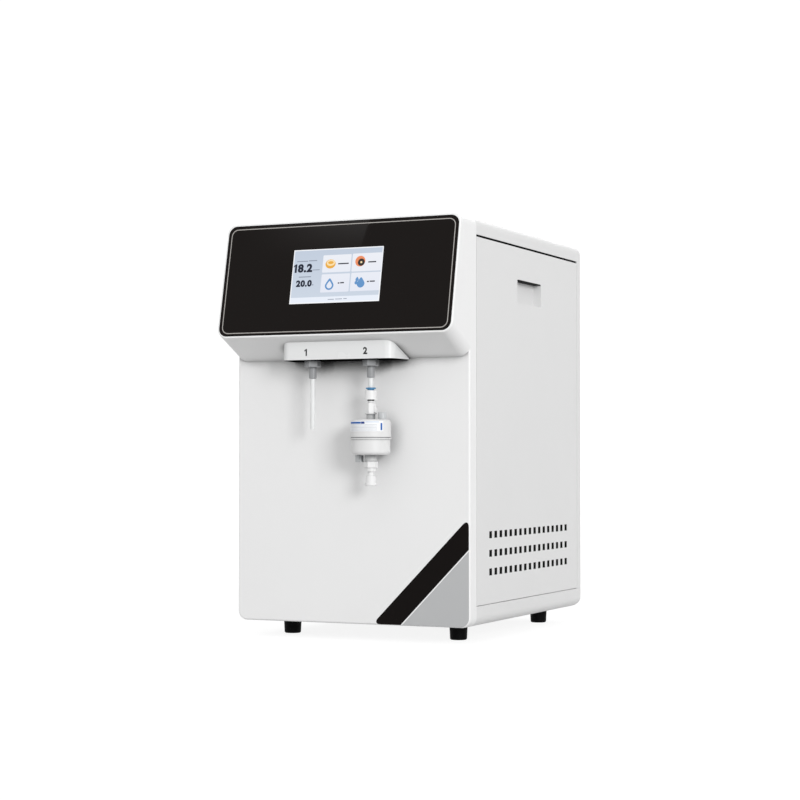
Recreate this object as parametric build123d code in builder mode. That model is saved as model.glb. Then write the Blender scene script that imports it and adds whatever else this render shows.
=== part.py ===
from build123d import *
import math
import os

# Laboratory water purifier: a bench cabinet with a tilted screen head, two outlets under it,
# side panels that tilt out, and the pump, cartridges and tubing that make the water inside.
# Millimetres. +Z is up, the front faces -Y, +X is to the right of someone facing the front.
# The origin is on the bench, under the middle of the whole object.

# Cabinet
body_width = 340.0
body_depth = 423.6
body_height = 531.0
foot_height = 21.8
front_cover_depth = 21.5
rear_panel_depth = 14.1
base_tray_height = 26.4
door_top_drop = 25.6
top_slot = 2.9
door_gap = 0.8
sheet = 1.2
moulding_wall = 3.0
rear_wall = 2.0
top_edge_radius = 12.0
bottom_corner_radius = 12.5
rear_corner_radius = 13.0
cover_edge_radius = 2.5

# Screen head
head_overhang = 59.3
lip_height = 377.1
underside_drop = 29.0
glass_tilt = 11.76
head_hollow_walls = 3
head_corner_radius = 14.0
head_edge_radius = 1.5
glass_rim = 2.2
glass_corner_radius = 12.0
glass_thickness = 3.0
glass_clearance = 0.3
display_width = 141.0
display_length = 83.0
display_thickness = 9.0
display_rise = 80.5
driver_width = 84.0
driver_length = 50.0
driver_thickness = 4.5
display_clearance = 0.5

# Dispensing block and outlets
block_front_half = 80.0
block_back_half = 84.0
block_reach = 45.0
block_drop = 30.5
block_corner_radius = 12.0
block_wall = 2.5
outlet_offset = 42.3
outlet_reach = 28.0
stem_radius = 6.0
stem_clearance = 0.3
hex_sides = 6
hex_turn = 30
nut_across_flats = 19.0
nut_height = 9.3
nut_chamfer = 1.2
sleeve_chamfer = 0.7
sleeve_radius = 4.95
sleeve_length = 14.7
elbow_radius = 6.5
elbow_reach = 15.0
elbow_rise = 45.0

# Tubing
tube_radius = 3.175
tube_bore_radius = 2.16
tube_clearance = 0.1
tube_bend_radius = 20.0
left_tube_length = 66.6
right_tube_gap = 13.0
tube_grip = 10.0

# Push-fit coupling above the capsule
collet_flange_radius = 6.65
collet_flange_thickness = 1.8
collet_rim_radius = 0.5
collet_travel = 1.5
collet_rest_gap = 1.8
collet_sleeve_radius = 4.5
collet_sleeve_length = 7.0
collet_clearance = 0.3
coupling_body_radius = 7.75
coupling_body_length = 12.0
coupling_rim_radius = 1.2
coupling_foot_radius = 8.6
coupling_foot_length = 1.8
coupling_neck_radius = 3.9
coupling_neck_length = 3.6
coupling_hex_across = 10.8
coupling_hex_length = 13.8
coupling_hex_chamfer = 1.1
coupling_lug_reach = 8.2
coupling_lug_width = 4.0
coupling_lug_low = 0.8
coupling_lug_high = 7.2
coupling_flow_radius = 2.0

# Filter capsule
capsule_neck_radius = 5.75
capsule_neck_flange_radius = 7.6
capsule_neck_flange_length = 1.6
capsule_neck_length = 8.3
capsule_upper_radius = 26.4
capsule_upper_length = 23.0
capsule_shoulder_radius = 5.0
capsule_lower_radius = 25.4
capsule_lower_length = 23.0
capsule_floor_radius = 4.5
capsule_wall = 2.0
capsule_rib_radius = 26.9
capsule_rib_length = 2.6
capsule_outlet_radius = 7.9
capsule_outlet_length = 7.6
capsule_port_offset = 16.4
capsule_port_radius = 2.6
capsule_port_bore = 1.0
capsule_port_length = 6.5
plug_radius = 5.4
plug_length = 9.0
plug_top = 1.8
plug_clearance = 0.3
plug_ribs = 10
plug_rib_radius = 0.8
plug_chamfer = 0.4
pleat_count = 18
pleat_outer_radius = 18.0
pleat_inner_radius = 11.0
pleat_core_radius = 6.0
membrane_clearance = 0.3

# Outlet adapter and bell under the capsule
adapter_across_flats = 16.2
adapter_nut_length = 9.7
adapter_ring_radius = 6.5
adapter_ring_length = 3.9
bell_neck_radius = 3.9
bell_neck_length = 5.2
bell_shoulder_length = 1.3
bell_radius = 6.6
bell_flange_radius = 7.8
bell_flange_length = 4.4
bell_rim_radius = 1.8
bell_length = 14.0
bell_step = 1.0
bell_bore_radius = 4.8
bell_bore_depth = 10.0

# Side panels
panel_flange = 12.0
panel_corner_relief = 3.0
pull_width = 91.0
pull_height = 32.0
pull_center_depth = 213.5
pull_center_height = 445.8
pull_depth = 11.4
pull_wall = 1.5
pull_rim = 5.0
pull_corner_radius = 2.0
vent_columns = 17
vent_rows = 3
vent_pitch_y = 18.09
vent_pitch_z = 24.4
vent_width = 9.6
vent_height = 9.2
vent_center_depth = 214.7
vent_center_height = 93.1
hook_width = 34.0
hook_drop = 7.0
hook_inset = 4.5
hook_spread = 240.0
hook_slot_clearance = 3.0
stud_spread = 260.0
stud_drop = 14.0
stud_radius = 2.0
stud_ball_radius = 3.0
stud_length = 16.4
stud_pad_radius = 5.0
stud_pad_thickness = 2.0
clip_radius = 5.5
clip_clearance = 0.5
clip_length = 6.0

# Feet
foot_front_inset = 70.7
foot_rear_inset = 53.9
foot_side_inset = 46.2
foot_top_radius = 12.3
foot_bottom_radius = 11.2
foot_chamfer = 1.2
foot_bore_radius = 2.6
foot_counterbore_radius = 6.0
foot_counterbore_depth = 10.0
screw_radius = 2.2
screw_head_radius = 4.2
screw_head_height = 2.4
screw_length = 16.0
cover_screw_length = 9.0
rear_vent_x = -80.0
rear_vent_height = 250.0
rear_vent_pitch = 12.0
rear_vent_count = 9
rear_vent_width = 90.0
rear_vent_slot = 4.0

# Rails and partition
rail_flange = 16.0
rail_drop = 50.0
rail_inset = 18.5
cover_screw_rows = (90.0, 230.0, 370.0)
partition_x = 12.0
partition_top = 405.0
partition_foot = 20.0
inner_end_gap = 3.0

# Cartridges
cartridge_radius = 31.0
cartridge_cap_radius = 32.5
cartridge_cap_length = 14.0
cartridge_cap_fillet = 4.0
cartridge_low = 75.0
cartridge_length = 236.0
cartridge_port_radius = 6.5
cartridge_port_length = 14.0
cartridge_pitch = 78.0
first_cartridge_depth = 300.0
cartridge_side_gap = 16.0
clip_band = 14.0
clip_wall = 2.5
clip_fit = 0.3
clip_low_height = 115.0
clip_high_height = 270.0
clip_opening = 110.0
clip_foot_width = 12.0
membrane_radius = 30.0
membrane_cap_radius = 33.0
membrane_length = 250.0
membrane_low = 110.0
membrane_port_spread = 15.0

# Pump
pump_height = 52.0
pump_head_size = 84.0
pump_head_length = 45.0
pump_head_corner = 10.0
pump_motor_radius = 32.0
pump_motor_length = 92.0
pump_port_length = 12.0
pump_bracket_width = 100.0
pump_foot_length = 24.0
pump_bracket_thickness = 2.0
pump_bracket_shift = 5.0
pump_cover_radius = 30.0
pump_cover_length = 4.0
pump_motor_fillet = 4.0
pump_bearing_radius = 9.0
pump_bearing_length = 5.0

# Ports and valves at the rear
port_row_height = 430.0
port_reach = 18.0
port_hex_across = 17.0
port_hex_length = 6.0
port_body_radius = 7.2
port_collet_radius = 5.6
port_collet_length = 2.0
port_bore_depth = 16.0
port_hole_clearance = 0.3
port_thread_radius = 6.0
port_nut_length = 5.0
port_inner_length = 14.0
tank_port_x = 22.0
valve_length = 46.0
valve_body_height = 20.0
valve_body_width = 24.0
coil_height = 30.0
coil_width = 28.0
coil_length = 34.0
valve_end_length = 7.0
valve_corner = 3.0
valve_shelf_drop = 11.0
valve_shelf_width = 50.0
tee_radius = 6.0
tee_reach = 13.0
outlet_tee_x = -14.0
tube_row_step = 30.0
link_drop = 30.0
tank_tube_bend = 40.0
outlet_tube_bend = 17.0
cell_probe_radius = 4.0
cell_probe_length = 10.0
cell_radius = 9.0
cell_chamfer = 1.0
cell_length = 26.0

# Electrical parts
supply_width = 118.0
supply_depth = 76.0
supply_height = 44.0
supply_front_depth = 28.0
supply_slots = 12
supply_slot_pitch = 8.0
supply_slot_width = 4.0
supply_slot_margin = 10.0
supply_slot_depth = 2.0
board_width = 150.0
board_height = 120.0
board_thickness = 1.6
board_standoff = 8.0
board_front_depth = 215.0
board_low_height = 230.0
board_post_inset = 6.0
board_post_radius = 3.0
board_components = (
    (-50.0, 30.0, 30.0, 26.0, 14.0),
    (-10.0, 34.0, 18.0, 15.0, 12.0),
    (14.0, 34.0, 18.0, 15.0, 12.0),
    (38.0, 34.0, 18.0, 15.0, 12.0),
    (0.0, -4.0, 22.0, 22.0, 3.0),
    (-45.0, -10.0, 12.0, 24.0, 10.0),
    (0.0, -50.0, 110.0, 9.0, 9.0),
)
inlet_width = 28.0
inlet_height = 54.0
inlet_lip = 5.0
inlet_flange = 3.0
inlet_x = 100.0
inlet_z = 70.0
inlet_body_depth = 26.0
socket_width = 24.0
socket_corner = 3.0
socket_height = 16.4
socket_depth = 17.0
rocker_width = 13.0
rocker_height = 19.0
rocker_swing = 20.0
rocker_crown = 1.0
rocker_clearance = 0.4
rocker_pivot_depth = 4.0
rocker_root = 5.0
rocker_sweep = 1.4
rocker_well_depth = 12.0
rocker_pin_radius = 1.2
rocker_pin_length = 1.6
inlet_fit = 0.6
socket_pins = ((-5.5, -2.0), (0.0, 3.0), (5.5, -2.0))
socket_pin_width = 2.0
socket_pin_height = 4.0
socket_pin_recess = 5.5

# Places worked out from the sizes above
front_y = -(body_depth + port_reach - head_overhang) / 2
base_z = foot_height
top_z = base_z + body_height
half_width = body_width / 2
rear_y = front_y + body_depth
cover_back_y = front_y + front_cover_depth
rear_seam_y = rear_y - rear_panel_depth
door_low_z = base_z + base_tray_height + door_gap
door_top_z = top_z - door_top_drop
skirt_z = door_top_z + top_slot
floor_z = base_z + sheet
outlet_y = front_y - outlet_reach
block_z = base_z + lip_height - block_drop
elbow_height = lip_height - block_drop + elbow_rise
elbow_z = base_z + elbow_height
port_z = base_z + port_row_height
tilt = math.radians(glass_tilt)
lip_y = front_y - head_overhang
lip_z = base_z + lip_height
head_back_z = lip_z - underside_drop
brow_y = lip_y + (top_z - lip_z) * math.tan(tilt)
face_length = (top_z - lip_z) / math.cos(tilt)
slope = math.atan2(lip_z - head_back_z, head_overhang)
glass_plane = Plane(
    origin=(0, lip_y, lip_z), x_dir=(1, 0, 0), z_dir=(0, -math.cos(tilt), math.sin(tilt))
)
slope_plane = Plane(
    origin=(0, front_y, head_back_z), x_dir=(1, 0, 0), z_dir=(0, math.sin(slope), math.cos(slope))
)

os.makedirs("parts", exist_ok=True)


def keep(part, label):
    """Name a finished piece and write its file."""
    part.label = label
    export_step(part, f"parts/{label}.step")


def facing(y):
    """A plane square to Y: local X is X, local Y is Z, and it looks to the front."""
    return Plane.XZ.offset(-y)


# Front cover: one moulding with the tilted screen head
def head_form(rear, inset):
    """The head as a solid, back to the plane y = rear, with its faces moved in by inset."""
    drop = (rear - front_y) * math.tan(slope)
    half = half_width - inset
    with BuildPart() as form:
        with BuildSketch(Plane.YZ):
            with BuildLine():
                Polyline(
                    (rear, head_back_z - drop), (lip_y, lip_z), (brow_y, top_z), (rear, top_z),
                    close=True,
                )
            make_face()
            if inset:
                offset(amount=-inset, kind=Kind.INTERSECTION)
        extrude(amount=half, both=True)
        for side in (0, -1):
            low_edge = form.faces().sort_by(Axis.X)[side].edges().sort_by(Axis.Z)[0]
            fillet(low_edge, head_corner_radius - inset)
            high_edge = form.faces().sort_by(Axis.X)[side].edges().sort_by(Axis.Z)[-1]
            fillet(high_edge, top_edge_radius - inset)
    return form.part


def slab_form(front, rear, inset):
    """The upright slab behind the head, with its faces moved in by inset."""
    with BuildPart() as form:
        with BuildSketch(facing(front)) as outline:
            with Locations((0, (base_z + top_z) / 2)):
                Rectangle(body_width - 2 * inset, body_height - 2 * inset)
            fillet(outline.vertices().group_by(Axis.Y)[0], bottom_corner_radius - inset)
            fillet(outline.vertices().group_by(Axis.Y)[-1], top_edge_radius - inset)
        extrude(amount=-(rear - front))
    return form.part


with BuildPart() as front_cover:
    add(slab_form(front_y, cover_back_y, 0))
    fillet(front_cover.faces().sort_by(Axis.Y)[0].edges(), cover_edge_radius)
    add(head_form(front_y + cover_edge_radius, 0))
    rim_edges = front_cover.faces().filter_by(glass_plane).sort_by(Axis.Y)[0].edges()
    fillet(rim_edges, head_edge_radius)
    add(slab_form(front_y + moulding_wall, cover_back_y + moulding_wall, moulding_wall),
        mode=Mode.SUBTRACT)
    with BuildPart(mode=Mode.PRIVATE) as head_hollow:
        add(head_form(front_y + head_hollow_walls * moulding_wall, moulding_wall))
        split(bisect_by=glass_plane.offset(-glass_thickness - moulding_wall), keep=Keep.BOTTOM)
    add(head_hollow.part, mode=Mode.SUBTRACT)
    with BuildSketch(glass_plane):
        with Locations((0, face_length / 2)):
            RectangleRounded(
                body_width - 2 * glass_rim, face_length - 2 * glass_rim, glass_corner_radius
            )
    extrude(amount=-glass_thickness, mode=Mode.SUBTRACT)
    with BuildSketch(glass_plane.offset(-glass_thickness)):
        with Locations((0, display_rise)):
            Rectangle(display_width + 2 * display_clearance, display_length + 2 * display_clearance)
    extrude(amount=-2 * moulding_wall, mode=Mode.SUBTRACT)
    with BuildSketch(Plane.XY.offset(block_z)):
        with Locations((-outlet_offset, outlet_y), (outlet_offset, outlet_y)):
            Circle(stem_radius + stem_clearance)
    extrude(amount=elbow_rise, mode=Mode.SUBTRACT)
keep(front_cover.part, "front_cover")

with BuildPart() as glass_panel:
    with BuildSketch(glass_plane):
        with Locations((0, face_length / 2)):
            RectangleRounded(
                body_width - 2 * (glass_rim + glass_clearance),
                face_length - 2 * (glass_rim + glass_clearance),
                glass_corner_radius - glass_clearance,
            )
    extrude(amount=-glass_thickness)
keep(glass_panel.part, "glass_panel")

with BuildPart() as display_module:
    with BuildSketch(glass_plane.offset(-glass_thickness)):
        with Locations((0, display_rise)):
            Rectangle(display_width, display_length)
    extrude(amount=-display_thickness)
    with BuildSketch(glass_plane.offset(-glass_thickness - display_thickness)):
        with Locations((0, display_rise)):
            Rectangle(driver_width, driver_length)
    extrude(amount=-driver_thickness)
keep(display_module.part, "display_module")


# Dispensing block: a hollow moulding under the head, with a boss round each outlet stem
def block_form(inset, floor):
    """The block as a solid with its walls moved in by inset, taller than it will be."""
    with BuildPart() as form:
        with BuildSketch(Plane.XY.offset(floor)) as outline:
            with BuildLine():
                Polyline(
                    (-block_back_half + inset, front_y - inset),
                    (-block_front_half + inset, front_y - block_reach + inset),
                    (block_front_half - inset, front_y - block_reach + inset),
                    (block_back_half - inset, front_y - inset),
                    close=True,
                )
            make_face()
            fillet(outline.vertices().group_by(Axis.Y)[0], block_corner_radius - inset)
        extrude(amount=block_drop)
    return form.part


with BuildPart() as dispense_block:
    add(block_form(0, block_z))
    add(block_form(block_wall, block_z + block_wall), mode=Mode.SUBTRACT)
    with BuildSketch(Plane.XY.offset(block_z)):
        with Locations((-outlet_offset, outlet_y), (outlet_offset, outlet_y)):
            Circle(stem_radius + stem_clearance + block_wall)
    extrude(amount=block_drop)
    with BuildSketch(Plane.XY.offset(block_z)):
        with Locations((-outlet_offset, outlet_y), (outlet_offset, outlet_y)):
            Circle(stem_radius + stem_clearance)
    extrude(amount=block_drop, mode=Mode.SUBTRACT)
    split(bisect_by=slope_plane, keep=Keep.BOTTOM)
keep(dispense_block.part, "dispense_block")


# Outlet fittings: grey nut and sleeve below the block, stem and elbow inside the head
def outlet_fitting(x):
    """One bulkhead fitting: its tube hangs from the sleeve, its elbow looks to the rear."""
    nut_low_z = block_z - nut_height
    with BuildPart() as fitting:
        with BuildSketch(Plane.XY.offset(nut_low_z)):
            with Locations((x, outlet_y)):
                RegularPolygon(nut_across_flats / 2, hex_sides, major_radius=False, rotation=hex_turn)
        extrude(amount=nut_height)
        rims = fitting.faces().filter_by(Axis.Z).edges()
        chamfer(rims, nut_chamfer)
        with BuildSketch(Plane.XY.offset(nut_low_z - sleeve_length)):
            with Locations((x, outlet_y)):
                Circle(sleeve_radius)
        extrude(amount=sleeve_length)
        chamfer(fitting.faces().sort_by(Axis.Z)[0].edges(), sleeve_chamfer)
        with BuildSketch(Plane.XY.offset(block_z)):
            with Locations((x, outlet_y)):
                Circle(stem_radius)
        extrude(amount=elbow_z - block_z + elbow_radius / 2)
        with BuildSketch(facing(outlet_y - elbow_radius)):
            with Locations((x, elbow_z)):
                Circle(elbow_radius)
        extrude(amount=-(elbow_radius + elbow_reach))
        with BuildSketch(Plane.XY.offset(nut_low_z - sleeve_length)):
            with Locations((x, outlet_y)):
                Circle(tube_radius + tube_clearance)
        extrude(amount=sleeve_length + nut_height, mode=Mode.SUBTRACT)
    return fitting.part


def hanging_tube(x, low, high):
    """One straight length of tube on an outlet's axis."""
    with BuildPart() as tube:
        with BuildSketch(Plane.XY.offset(low)):
            with Locations((x, outlet_y)):
                Circle(tube_radius)
                Circle(tube_bore_radius, mode=Mode.SUBTRACT)
        extrude(amount=high - low)
    return tube.part


sleeve_low_z = block_z - nut_height - sleeve_length
coupling_top_z = sleeve_low_z - right_tube_gap - collet_flange_thickness - collet_rest_gap
keep(outlet_fitting(-outlet_offset), "left_outlet_fitting")
keep(outlet_fitting(outlet_offset), "right_outlet_fitting")
keep(hanging_tube(-outlet_offset, sleeve_low_z - left_tube_length, block_z), "left_outlet_tube")
keep(hanging_tube(outlet_offset, coupling_top_z - tube_grip, block_z), "right_outlet_tube")

# Push-fit coupling: the body grips the tube, and pressing the collet lets the tube go
coupling_axis = (outlet_offset, outlet_y)
with BuildPart() as coupling_body:
    with BuildSketch(Plane.XY.offset(coupling_top_z)):
        with Locations(coupling_axis):
            Circle(coupling_body_radius)
    extrude(amount=-coupling_body_length)
    fillet(coupling_body.faces().sort_by(Axis.Z)[-1].edges(), coupling_rim_radius)
    foot_z = coupling_top_z - coupling_body_length
    with BuildSketch(Plane.XY.offset(foot_z)):
        with Locations(coupling_axis):
            Circle(coupling_foot_radius)
    extrude(amount=coupling_foot_length)
    with BuildSketch(Plane.XY.offset(foot_z)):
        with Locations(coupling_axis):
            Circle(coupling_neck_radius)
    extrude(amount=-coupling_neck_length)
    with BuildSketch(Plane.XY.offset(foot_z - coupling_neck_length)):
        with Locations(coupling_axis):
            RegularPolygon(coupling_hex_across / 2, hex_sides, major_radius=False, rotation=hex_turn)
    extrude(amount=-coupling_hex_length)
    hex_low_z = foot_z - coupling_neck_length - coupling_hex_length
    hex_top = coupling_body.faces().filter_by(Axis.Z).filter_by_position(
        Axis.Z, foot_z - coupling_neck_length, foot_z - coupling_neck_length)
    chamfer(hex_top.face().outer_wire().edges(), coupling_hex_chamfer)
    lug_slope = coupling_lug_reach - coupling_hex_across / 2
    with BuildSketch(facing(outlet_y)):
        with BuildLine():
            Polyline(
                (outlet_offset, hex_low_z + coupling_lug_low),
                (outlet_offset + coupling_lug_reach, hex_low_z + coupling_lug_low),
                (outlet_offset + coupling_lug_reach, hex_low_z + coupling_lug_high),
                (outlet_offset + coupling_hex_across / 2, hex_low_z + coupling_lug_high + lug_slope),
                (outlet_offset, hex_low_z + coupling_lug_high + lug_slope),
                close=True,
            )
        make_face()
    extrude(amount=coupling_lug_width / 2, both=True)
    with BuildSketch(Plane.XY.offset(coupling_top_z)):
        with Locations(coupling_axis):
            Circle(collet_sleeve_radius + collet_clearance)
    extrude(amount=-(collet_sleeve_length - collet_rest_gap + collet_travel + collet_clearance),
            mode=Mode.SUBTRACT)
    with BuildSketch(Plane.XY.offset(coupling_top_z)):
        with Locations(coupling_axis):
            Circle(tube_radius + tube_clearance)
    extrude(amount=-tube_grip, mode=Mode.SUBTRACT)
    with BuildSketch(Plane.XY.offset(coupling_top_z)):
        with Locations(coupling_axis):
            Circle(coupling_flow_radius)
    coupling_length = coupling_body_length + coupling_neck_length + coupling_hex_length
    extrude(amount=-coupling_length, mode=Mode.SUBTRACT)
keep(coupling_body.part, "coupling_body")

with BuildPart() as coupling_collet:
    with BuildSketch(Plane.XY.offset(coupling_top_z + collet_rest_gap)):
        with Locations(coupling_axis):
            Circle(collet_flange_radius)
    extrude(amount=collet_flange_thickness)
    fillet(coupling_collet.faces().sort_by(Axis.Z)[-1].edges(), collet_rim_radius)
    with BuildSketch(Plane.XY.offset(coupling_top_z + collet_rest_gap)):
        with Locations(coupling_axis):
            Circle(collet_sleeve_radius)
    extrude(amount=-collet_sleeve_length)
    with BuildSketch(Plane.XY.offset(coupling_top_z + collet_rest_gap - collet_sleeve_length)):
        with Locations(coupling_axis):
            Circle(tube_radius + collet_clearance)
    extrude(amount=collet_sleeve_length + collet_flange_thickness, mode=Mode.SUBTRACT)
keep(coupling_collet.part, "coupling_collet")


# Filter capsule: two welded cups round a pleated membrane, a vent plug on top and a drain below
capsule_neck_top_z = coupling_top_z - coupling_length
capsule_top_z = capsule_neck_top_z - capsule_neck_length
capsule_seam_z = capsule_top_z - capsule_upper_length
capsule_floor_z = capsule_seam_z - capsule_lower_length
capsule_outlet_z = capsule_floor_z - capsule_outlet_length
vent_center = (outlet_offset + capsule_port_offset, outlet_y)
drain_center = (outlet_offset - capsule_port_offset, outlet_y)

with BuildPart() as capsule_upper_housing:
    with BuildSketch(Plane.XY.offset(capsule_seam_z)):
        with Locations(coupling_axis):
            Circle(capsule_upper_radius)
    extrude(amount=capsule_upper_length)
    fillet(capsule_upper_housing.faces().sort_by(Axis.Z)[-1].edges(), capsule_shoulder_radius)
    with BuildSketch(Plane.XY.offset(capsule_top_z - capsule_wall)):
        with Locations(coupling_axis):
            Circle(capsule_neck_radius)
        with Locations(vent_center):
            Circle(capsule_port_radius)
    extrude(amount=capsule_wall + capsule_port_length)
    with BuildSketch(Plane.XY.offset(capsule_top_z)):
        with Locations(coupling_axis):
            Circle(capsule_neck_radius)
    extrude(amount=capsule_neck_length)
    with BuildSketch(Plane.XY.offset(capsule_neck_top_z - capsule_neck_flange_length)):
        with Locations(coupling_axis):
            Circle(capsule_neck_flange_radius)
    extrude(amount=capsule_neck_flange_length)
    with BuildPart(mode=Mode.PRIVATE) as upper_hollow:
        with BuildSketch(Plane.XY.offset(capsule_seam_z)):
            with Locations(coupling_axis):
                Circle(capsule_upper_radius - capsule_wall)
        extrude(amount=capsule_upper_length - capsule_wall)
        fillet(upper_hollow.faces().sort_by(Axis.Z)[-1].edges(),
               capsule_shoulder_radius - capsule_wall)
    add(upper_hollow.part, mode=Mode.SUBTRACT)
    with BuildSketch(Plane.XY.offset(capsule_neck_top_z)):
        with Locations(coupling_axis):
            Circle(coupling_flow_radius)
    extrude(amount=-(capsule_neck_length + capsule_wall), mode=Mode.SUBTRACT)
    with BuildSketch(Plane.XY.offset(capsule_top_z + capsule_port_length)):
        with Locations(vent_center):
            Circle(capsule_port_bore)
    extrude(amount=-(capsule_port_length + capsule_wall), mode=Mode.SUBTRACT)
keep(capsule_upper_housing.part, "capsule_upper_housing")

with BuildPart() as capsule_lower_housing:
    with BuildSketch(Plane.XY.offset(capsule_floor_z)):
        with Locations(coupling_axis):
            Circle(capsule_lower_radius)
    extrude(amount=capsule_lower_length)
    fillet(capsule_lower_housing.faces().sort_by(Axis.Z)[0].edges(), capsule_floor_radius)
    with BuildSketch(Plane.XY.offset(capsule_seam_z - capsule_rib_length)):
        with Locations(coupling_axis):
            Circle(capsule_rib_radius)
    extrude(amount=capsule_rib_length - capsule_wall / 2)
    with BuildSketch(Plane.XY.offset(capsule_outlet_z)):
        with Locations(coupling_axis):
            Circle(capsule_outlet_radius)
    extrude(amount=capsule_outlet_length + capsule_wall)
    with BuildSketch(Plane.XY.offset(capsule_floor_z + capsule_wall)):
        with Locations(drain_center):
            Circle(capsule_port_radius)
    extrude(amount=-(capsule_port_length + capsule_wall))
    with BuildPart(mode=Mode.PRIVATE) as lower_hollow:
        with BuildSketch(Plane.XY.offset(capsule_floor_z + capsule_wall)):
            with Locations(coupling_axis):
                Circle(capsule_lower_radius - capsule_wall)
        extrude(amount=capsule_lower_length)
        fillet(lower_hollow.faces().sort_by(Axis.Z)[0].edges(), capsule_floor_radius - capsule_wall)
    add(lower_hollow.part, mode=Mode.SUBTRACT)
    with BuildSketch(Plane.XY.offset(capsule_outlet_z)):
        with Locations(coupling_axis):
            Circle(coupling_flow_radius)
    extrude(amount=capsule_outlet_length + 2 * capsule_wall, mode=Mode.SUBTRACT)
    with BuildSketch(Plane.XY.offset(capsule_floor_z - capsule_port_length)):
        with Locations(drain_center):
            Circle(capsule_port_bore)
    extrude(amount=capsule_port_length + 2 * capsule_wall, mode=Mode.SUBTRACT)
keep(capsule_lower_housing.part, "capsule_lower_housing")

with BuildPart() as capsule_membrane:
    membrane_low_z = capsule_floor_z + capsule_wall + membrane_clearance
    membrane_high_z = capsule_top_z - capsule_wall - membrane_clearance
    with BuildSketch(Plane.XY.offset(membrane_low_z)):
        with BuildLine():
            pleats = []
            for step in range(2 * pleat_count):
                angle = math.pi * step / pleat_count
                radius = pleat_outer_radius if step % 2 == 0 else pleat_inner_radius
                pleats.append((outlet_offset + radius * math.cos(angle),
                               outlet_y + radius * math.sin(angle)))
            Polyline(*pleats, close=True)
        make_face()
        with Locations(coupling_axis):
            Circle(pleat_core_radius, mode=Mode.SUBTRACT)
    extrude(amount=membrane_high_z - membrane_low_z)
    for cap_z in (membrane_low_z, membrane_high_z - capsule_wall):
        with BuildSketch(Plane.XY.offset(cap_z)):
            with Locations(coupling_axis):
                Circle(pleat_outer_radius)
                Circle(coupling_flow_radius, mode=Mode.SUBTRACT)
        extrude(amount=capsule_wall)
keep(capsule_membrane.part, "capsule_membrane")


def port_plug(center, seat_z, direction):
    """A ribbed cap over one of the capsule's ports; direction is +1 above it, -1 below it."""
    with BuildPart() as plug:
        with BuildSketch(Plane.XY.offset(seat_z)):
            with Locations(center):
                Circle(plug_radius - plug_rib_radius / 2)
                with PolarLocations(plug_radius - plug_rib_radius, plug_ribs):
                    Circle(plug_rib_radius)
        extrude(amount=direction * plug_length)
        crown = plug.faces().filter_by(Axis.Z).sort_by(Axis.Z)[-1 if direction > 0 else 0]
        chamfer(crown.edges(), plug_chamfer)
        with BuildSketch(Plane.XY.offset(seat_z)):
            with Locations(center):
                Circle(capsule_port_radius + plug_clearance)
        extrude(amount=direction * (plug_length - plug_top), mode=Mode.SUBTRACT)
    return plug.part


keep(port_plug(vent_center, capsule_top_z + plug_clearance, 1), "capsule_vent_plug")
keep(port_plug(drain_center, capsule_floor_z - plug_clearance, -1), "capsule_drain_plug")

adapter_low_z = capsule_outlet_z - adapter_nut_length - adapter_ring_length
with BuildPart() as outlet_adapter:
    with BuildSketch(Plane.XY.offset(capsule_outlet_z)):
        with Locations(coupling_axis):
            RegularPolygon(adapter_across_flats / 2, hex_sides, major_radius=False, rotation=hex_turn)
    extrude(amount=-adapter_nut_length)
    chamfer(outlet_adapter.faces().filter_by(Axis.Z).edges(), nut_chamfer)
    with BuildSketch(Plane.XY.offset(capsule_outlet_z - adapter_nut_length)):
        with Locations(coupling_axis):
            Circle(adapter_ring_radius)
    extrude(amount=-adapter_ring_length)
    with BuildSketch(Plane.XY.offset(capsule_outlet_z)):
        with Locations(coupling_axis):
            Circle(coupling_flow_radius)
    extrude(amount=-(adapter_nut_length + adapter_ring_length), mode=Mode.SUBTRACT)
keep(outlet_adapter.part, "outlet_adapter")

bell_low_z = adapter_low_z - bell_neck_length - bell_length
with BuildPart() as bell_outlet:
    with BuildSketch(facing(outlet_y)):
        with BuildLine():
            Polyline(
                (outlet_offset + coupling_flow_radius, adapter_low_z),
                (outlet_offset + bell_neck_radius, adapter_low_z),
                (outlet_offset + bell_neck_radius, adapter_low_z - bell_neck_length),
                (outlet_offset + bell_radius, bell_low_z + bell_length - bell_shoulder_length),
                (outlet_offset + bell_radius, bell_low_z + bell_flange_length),
                (outlet_offset + bell_flange_radius, bell_low_z + bell_flange_length - bell_step),
                (outlet_offset + bell_flange_radius, bell_low_z),
                (outlet_offset + bell_bore_radius, bell_low_z),
                (outlet_offset + bell_bore_radius, bell_low_z + bell_bore_depth),
                (outlet_offset + coupling_flow_radius, bell_low_z + bell_bore_depth),
                close=True,
            )
        make_face()
    revolve(axis=Axis((outlet_offset, outlet_y, 0), (0, 0, 1)))
    fillet(bell_outlet.faces().sort_by(Axis.Z)[0].outer_wire().edges(), bell_rim_radius)
keep(bell_outlet.part, "bell_outlet")

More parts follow.
